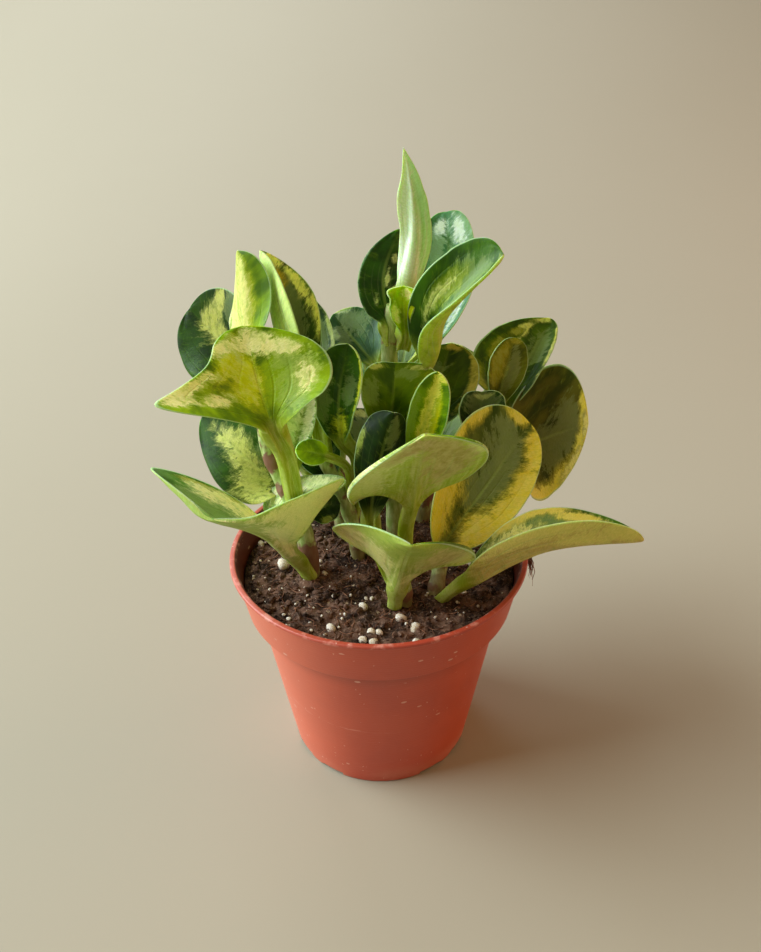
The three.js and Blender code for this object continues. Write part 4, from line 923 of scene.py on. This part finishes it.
def grow_leaf(shape, leaf, seed):
    """A leaf with its petiole: an upper skin, the same skin lowered, and a margin between them."""
    layers = {name: shape.verts.layers.float_vector[name] for name in leaf_values}
    tints = {name: shape.verts.layers.float_color[name] for name in leaf_tints}
    rib = [Vector(point) for point in leaf["rib"]]
    last = len(rib) - 1
    rows = petiole_rows + blade_rows
    ats = [leaf["base"] * row / petiole_rows for row in range(petiole_rows)]
    blades = [0.0] * petiole_rows
    for row in range(blade_rows + 1):
        share = math.sin(math.pi / 2 * row / blade_rows)
        ats.append(leaf["base"] + (last - leaf["base"]) * share)
        blades.append(share)
    centres = [along_line(rib, at) for at in ats]
    tangents = [
        (along_line(rib, min(at + 0.01, last)) - along_line(rib, max(at - 0.01, 0))).normalized()
        for at in ats]
    middle = min(range(petiole_rows, rows + 1), key=lambda row: abs(blades[row] - 0.5))
    normals = [None] * (rows + 1)
    normals[middle] = Vector(leaf["face"])
    middle_out = [(middle, middle)]
    middle_out += [(row, row - 1) for row in range(middle + 1, rows + 1)]
    middle_out += [(row, row + 1) for row in range(middle - 1, -1, -1)]
    for row, neighbour in middle_out:
        leaning = normals[neighbour]
        normals[row] = (leaning - tangents[row] * leaning.dot(tangents[row])).normalized()
    travelled = [0.0]
    for row in range(rows):
        travelled.append(travelled[-1] + (centres[row + 1] - centres[row]).length)
    grown = [smooth((row / petiole_rows - 0.45) / 0.5) for row in range(rows + 1)]
    sections = [
        [half_section(leaf, side, blade, open_share) for side in (0, 1)]
        for blade, open_share in zip(blades, grown)]

    grid = bmesh.ops.create_grid(shape, x_segments=2 * half_columns, y_segments=rows, size=1)["verts"]
    for vert in grid:
        row = round((vert.co.y + 1) / 2 * rows)
        column = round(abs(vert.co.x) * half_columns)
        across = math.copysign(column_shares[column], vert.co.x)
        side, hand = (0, -1) if across < 0 else (1, 1)
        out, up, angle, depth, width = sections[row][side][column]
        right = tangents[row].cross(normals[row])
        blade = blades[row]
        outward = right * (hand * math.cos(angle)) + normals[row] * math.sin(angle)
        lifted = normals[row] * math.cos(angle) - right * (hand * math.sin(angle))
        top = centres[row] + right * (hand * out) + normals[row] * up
        top += tangents[row] * (out * leaf["sweep"][side] * min(1, 3 * blade))
        ripple = noise.noise(Vector((across * 1.6 + seed * 5.1, blade * 3.2, seed * 1.7)))
        quilt = noise.noise(Vector((across * 5 + seed, blade * 9, seed)))
        open_blade = min(1, 4 * blade) * min(1, width / 6)
        waves = ripple * 1.1 * abs(across) ** 1.5 + quilt * 0.25
        top += lifted * (open_blade * leaf["crinkle"] * waves)
        nicks = noise.noise(Vector((seed, blade * 11, hand)))
        top += outward * (open_blade * 0.5 * abs(across) ** 4 * nicks)
        along = blade if row >= petiole_rows else ats[row] / leaf["base"] * 0.3 - 0.3
        vert[layers["place"]] = (across, along, 0)
        on_from_base = travelled[row] - travelled[petiole_rows]
        vert[layers["span"]] = (across * width / 10, on_from_base / 10, seed)
        vert[layers["marks"]] = tuple(
            patched(leaf[kind], across, along) for kind in ("cream", "grey", "yellow"))
        vert[layers["down"]] = lifted * -depth
        for name, layer in tints.items():
            vert[layer] = colour(leaf[name])
        vert.co = top
    skin_parts = grid + list({edge for vert in grid for edge in vert.link_edges})
    skin_parts += list({side_face for vert in grid for side_face in vert.link_faces})
    copy = bmesh.ops.duplicate(shape, geom=skin_parts)["geom"]
    lower = [part for part in copy if isinstance(part, bmesh.types.BMVert)]
    lower_faces = [part for part in copy if isinstance(part, bmesh.types.BMFace)]
    for vert in lower:
        vert.co += vert[layers["down"]]
        across, along, _ = vert[layers["place"]]
        vert[layers["place"]] = (across, along, 1)
    bmesh.ops.reverse_faces(shape, faces=lower_faces)
    borders = [edge for vert in grid + lower for edge in vert.link_edges if edge.is_boundary]
    bmesh.ops.bridge_loops(shape, edges=list(set(borders)))


leaf_look, tree, surface = new_material("variegated_leaf")
green, pale, below, golden = (attribute(tree, tint, "Color") for tint in leaf_tints)
marks = [
    add(tree, "ShaderNodeSeparateXYZ", {"Vector": attribute(tree, name)}).outputs
    for name in ("place", "span", "marks")]
(across, along, under), (span_across, span_along, seed_mark), (cream, grey, yellow) = marks
out = maths(tree, "ABSOLUTE", across)
span_out = maths(tree, "ABSOLUTE", span_across)
on_right = maths(tree, "GREATER_THAN", across, 0.0)
sided_seed = maths(tree, "ADD", seed_mark, times(tree, on_right, 31.7))

# Feathers: the borders of the patches reach out and forward along the side veins, with
# a halo of half-bleached green round them and streaks of green left inside.
forward = maths(tree, "SUBTRACT", span_along, times(tree, span_out, 0.6))
feather_place = add(tree, "ShaderNodeCombineXYZ", {
    "X": times(tree, forward, 2.6), "Y": span_out, "Z": sided_seed}).outputs[0]
speck_place = add(tree, "ShaderNodeCombineXYZ", {"X": forward, "Y": span_out, "Z": sided_seed}).outputs[0]
feather = grain(tree, feather_place, 1.7, 7.0, 0.66)
broad = grain(tree, speck_place, 1.1, 3.0, 0.5)
mottle = grain(tree, speck_place, 3.4, 6.0, 0.7)
specks = grain(tree, feather_place, 9.0, 4.0, 0.75)


def ragged(field, feathers, mottles, low, high):
    """A patch's field with its border broken up, as 0 below low and 1 above high."""
    jags = times(tree, maths(tree, "SUBTRACT", feather, 0.5), feathers)
    blots = times(tree, maths(tree, "SUBTRACT", mottle, 0.5), mottles)
    grit = times(tree, maths(tree, "SUBTRACT", specks, 0.5), 0.9)
    moved = maths(tree, "ADD", maths(tree, "ADD", field, grit), maths(tree, "ADD", jags, blots))
    return step(tree, moved, low, high)


# The blade: two greens, then greyed, golden and cream patches. Each patch has a wide weak coat,
# which is its halo, and cream and gold have a narrower full one.
deep_green = painted(tree, 1.0, green, "#97ad80", "MULTIPLY")
fresh_green = painted(tree, 0.2, green, "#9db54a")
greyed = painted(tree, 0.4, green, "#b3c28e")
gilded = painted(tree, 0.55, green, golden)
bleached = painted(tree, 0.4, green, pale)
golden = painted(tree, step(tree, mottle, 0.36, 0.62), golden, painted(tree, 0.3, golden, pale))
cream_colour = painted(tree, step(tree, mottle, 0.46, 0.68), pale, bleached)
blade_colour = painted(tree, step(tree, broad, 0.35, 0.65), deep_green, green)
blade_colour = coated(tree, blade_colour, [
    (step(tree, feather, 0.52, 0.72), 0.8, fresh_green),
    (ragged(grey, 2.2, 1.6, -0.2, 0.25), 0.7, greyed),
    (ragged(yellow, 1.4, 1.0, -0.5, 0.05), 0.7, gilded),
    (ragged(yellow, 1.4, 1.0, -0.08, 0.3), 0.92, golden),
    (ragged(cream, 2.2, 1.8, -0.5, 0), 0.65, bleached),
    (ragged(cream, 2.2, 1.8, -0.04, 0.22), 1.0, cream_colour)])

# Veins: a pale midrib, and three fainter ribs on each side that fan out from the base.
tip_away = maths(tree, "SUBTRACT", 1.02, along)
rib_line = step(tree, span_out, 0.09, 0.02)
midrib = times(tree, rib_line, step(tree, tip_away, 0.0, 0.6))
fan_lines = []
for fan in (0.2, 0.45, 0.72):
    course = times(tree, step(tree, along, -0.25, 0.45), fan)
    off = maths(tree, "ABSOLUTE", maths(tree, "SUBTRACT", out, course))
    fan_lines.append(step(tree, off, 0.03, 0.0))
fan_lines = maths(tree, "MAXIMUM", maths(tree, "MAXIMUM", fan_lines[0], fan_lines[1]), fan_lines[2])
fan_lines = times(tree, fan_lines, step(tree, tip_away, 0.15, 0.7))
lightened = painted(tree, 0.5, blade_colour, "#b9cf7a")
blade_colour = coated(tree, blade_colour, [(midrib, 0.5, lightened), (fan_lines, 0.13, lightened)])
veins = maths(tree, "MAXIMUM", midrib, fan_lines)

# The throat and the petiole are plain light green. The margin's thin pale rim is a painted highlight.
throat = step(tree, along, 0.16, -0.04)
streak_place = add(tree, "ShaderNodeCombineXYZ", {
    "X": times(tree, span_along, 0.35), "Y": times(tree, span_across, 3.5), "Z": sided_seed}).outputs[0]
long_streaks = grain(tree, streak_place, 2.4, 5.0, 0.6)
throat_colour = painted(tree, step(tree, long_streaks, 0.36, 0.64), "#97a93f", "#bdc977")
blade_colour = painted(tree, throat, blade_colour, throat_colour)
on_blade = step(tree, along, 0.02, 0.2)
# Painted highlight: the pale rim along the margin, where light catches the rounded edge.
rim_highlight = times(tree, step(tree, out, 0.955, 0.985), on_blade)
blade_colour = coated(tree, blade_colour, [(rim_highlight, 0.7, "#b9d6b2")])

# The underside is paler and duller, and the patches only show through it.
streaked_below = times(tree, step(tree, long_streaks, 0.44, 0.66), step(tree, along, 0.9, 0.3))
tan = painted(tree, step(tree, mottle, 0.4, 0.6), "#90804e", "#c4b68a")
under_colour = coated(tree, below, [
    (step(tree, feather, 0.42, 0.66), 0.3, green),
    (streaked_below, 0.55, pale),
    (step(tree, long_streaks, 0.42, 0.3), 0.4, green),
    (ragged(cream, 2.4, 1.6, -0.5, 0.3), 0.75, pale),
    (ragged(yellow, 1.8, 1.2, -0.4, 0.4), 0.8, painted(tree, 0.5, golden, tan)),
    (veins, 0.4, "#c3d48e"),
    (throat, 1.0, throat_colour),
    # The underside's pale rim is a painted highlight too.
    (rim_highlight, 0.7, "#bcd38a")])
leaf_colour = painted(tree, under, blade_colour, under_colour)
flesh = painted(tree, step(tree, specks, 0.4, 0.62), "#eef2e0", "#ffffff")
leaf_colour = painted(tree, 1.0, leaf_colour, flesh, "MULTIPLY")
livelier = {"Color": leaf_colour, "Saturation": 1.1}
leaf_colour = add(tree, "ShaderNodeHueSaturation", livelier).outputs["Color"]
leaf_roughness = maths(tree, "ADD", 0.36, times(tree, specks, 0.16))
leaf_roughness = maths(tree, "ADD", leaf_roughness, times(tree, under, 0.16))
leaf_relief = maths(tree, "ADD", times(tree, veins, -0.7), times(tree, specks, 0.3))
leaf_relief = maths(tree, "ADD", leaf_relief, times(tree, feather, 0.7))
wire(tree, surface, Base_Color=leaf_colour, Roughness=leaf_roughness, IOR=1.45, Specular_IOR_Level=0.24,
     Subsurface_Weight=0.55, Subsurface_Radius=(0.7, 1.0, 0.25), Subsurface_Scale=0.0022,
     Normal=bumped(tree, leaf_relief, 0.00035, 0.6))

for stem_name in stems:
    foliage = bmesh.new()
    for name in leaf_values:
        foliage.verts.layers.float_vector.new(name)
    for name in leaf_tints:
        foliage.verts.layers.float_color.new(name)
    for seed, given in enumerate(leaves.values(), start=1):
        if given["stem"] == stem_name:
            grow_leaf(foliage, {**leaf_defaults, **given}, seed)
    bmesh.ops.scale(foliage, verts=foliage.verts, vec=(mm, mm, mm))
    bmesh.ops.recalc_face_normals(foliage, faces=foliage.faces)
    blades_of_stem = finished(stem_name + "_leaves", foliage, leaf_look)
    rounding = blades_of_stem.modifiers.new("rounding", "SUBSURF")
    rounding.levels = rounding.render_levels = 1
    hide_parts(stem_name)

# Studio: a plain warm-grey sweep that rises behind the plant, a large soft window-like
# light from the left, and a camera where the photograph was taken from, looking down.
sweep_front = 1.6
sweep_start = 0.45
sweep_bend = 3.2
sweep_wall = 1.5
sweep_half_width = 4
sweep_shape = bmesh.new()
sweep_grid = bmesh.ops.create_grid(sweep_shape, x_segments=2, y_segments=160, size=1)["verts"]
for vert in sweep_grid:
    reach = (vert.co.y + 1) / 2 * (sweep_front + sweep_start + sweep_bend + sweep_wall) - sweep_front
    turn = min(max((reach - sweep_start) / sweep_bend, 0), 1) * math.pi / 2
    bend = sweep_bend / (math.pi / 2)
    y = min(reach, sweep_start) + bend * math.sin(turn)
    z = bend * (1 - math.cos(turn)) + max(0, reach - sweep_start - sweep_bend)
    vert.co = (vert.co.x * sweep_half_width, y, z - 0.0002)
sweep_look, tree, surface = new_material("studio_sweep")
place = add(tree, "ShaderNodeTexCoord").outputs["Object"]
paper = painted(tree, grain(tree, place, 2.0), "#a29b88", "#9e9783")
wire(tree, surface, Base_Color=paper, Roughness=0.75, Specular_IOR_Level=0.2)
sweep_mesh = bpy.data.meshes.new("studio_sweep")
sweep_shape.to_mesh(sweep_mesh)
sweep_shape.free()
sweep_mesh.polygons.foreach_set("use_smooth", [True] * len(sweep_mesh.polygons))
sweep_mesh.materials.append(sweep_look)
sweep = bpy.data.objects.new("studio_sweep", sweep_mesh)
bpy.context.scene.collection.objects.link(sweep)


def soft_light(name, at, towards, width, height, power, tint):
    lamp = bpy.data.lights.new(name, "AREA")
    lamp.shape = "RECTANGLE"
    lamp.size = width
    lamp.size_y = height
    lamp.energy = power
    lamp.color = colour(tint)[:3]
    light = bpy.data.objects.new(name, lamp)
    light.location = at
    light.rotation_euler = (Vector(towards) - Vector(at)).to_track_quat("-Z", "Y").to_euler()
    bpy.context.scene.collection.objects.link(light)


soft_light("window_light", (-1.65, 0.12, 1.25), (0, 0, 0.1), 1.7, 1.8, 95, "#e8f7ff")
soft_light("window_spill", (-0.5, 1.4, 1.5), (0.7, 1.8, 0.1), 1.0, 1.0, 17, "#dcecff")
soft_light("warm_wall_glow", (1.5, 0.3, 0.6), (0, 0, 0.1), 1.0, 1.0, 9, "#ffc098")
room = bpy.data.worlds.new("soft_room")
room.use_nodes = True
ambient = room.node_tree.nodes["Background"].inputs
ambient["Color"].default_value = colour("#f5cfa2")
ambient["Strength"].default_value = 0.44
bpy.context.scene.world = room
bpy.context.scene.view_settings.view_transform = "Standard"

lens = bpy.data.cameras.new("photo_camera")
lens.sensor_width = 36
lens.lens = 30.25
lens.clip_start = 0.01
camera = bpy.data.objects.new("photo_camera", lens)
camera.location = (0.0011, -0.265, 0.285)
camera.rotation_mode = "ZYX"
camera.rotation_euler = (math.radians(59.3), 0, math.radians(-0.7))
bpy.context.scene.collection.objects.link(camera)
bpy.context.scene.camera = camera
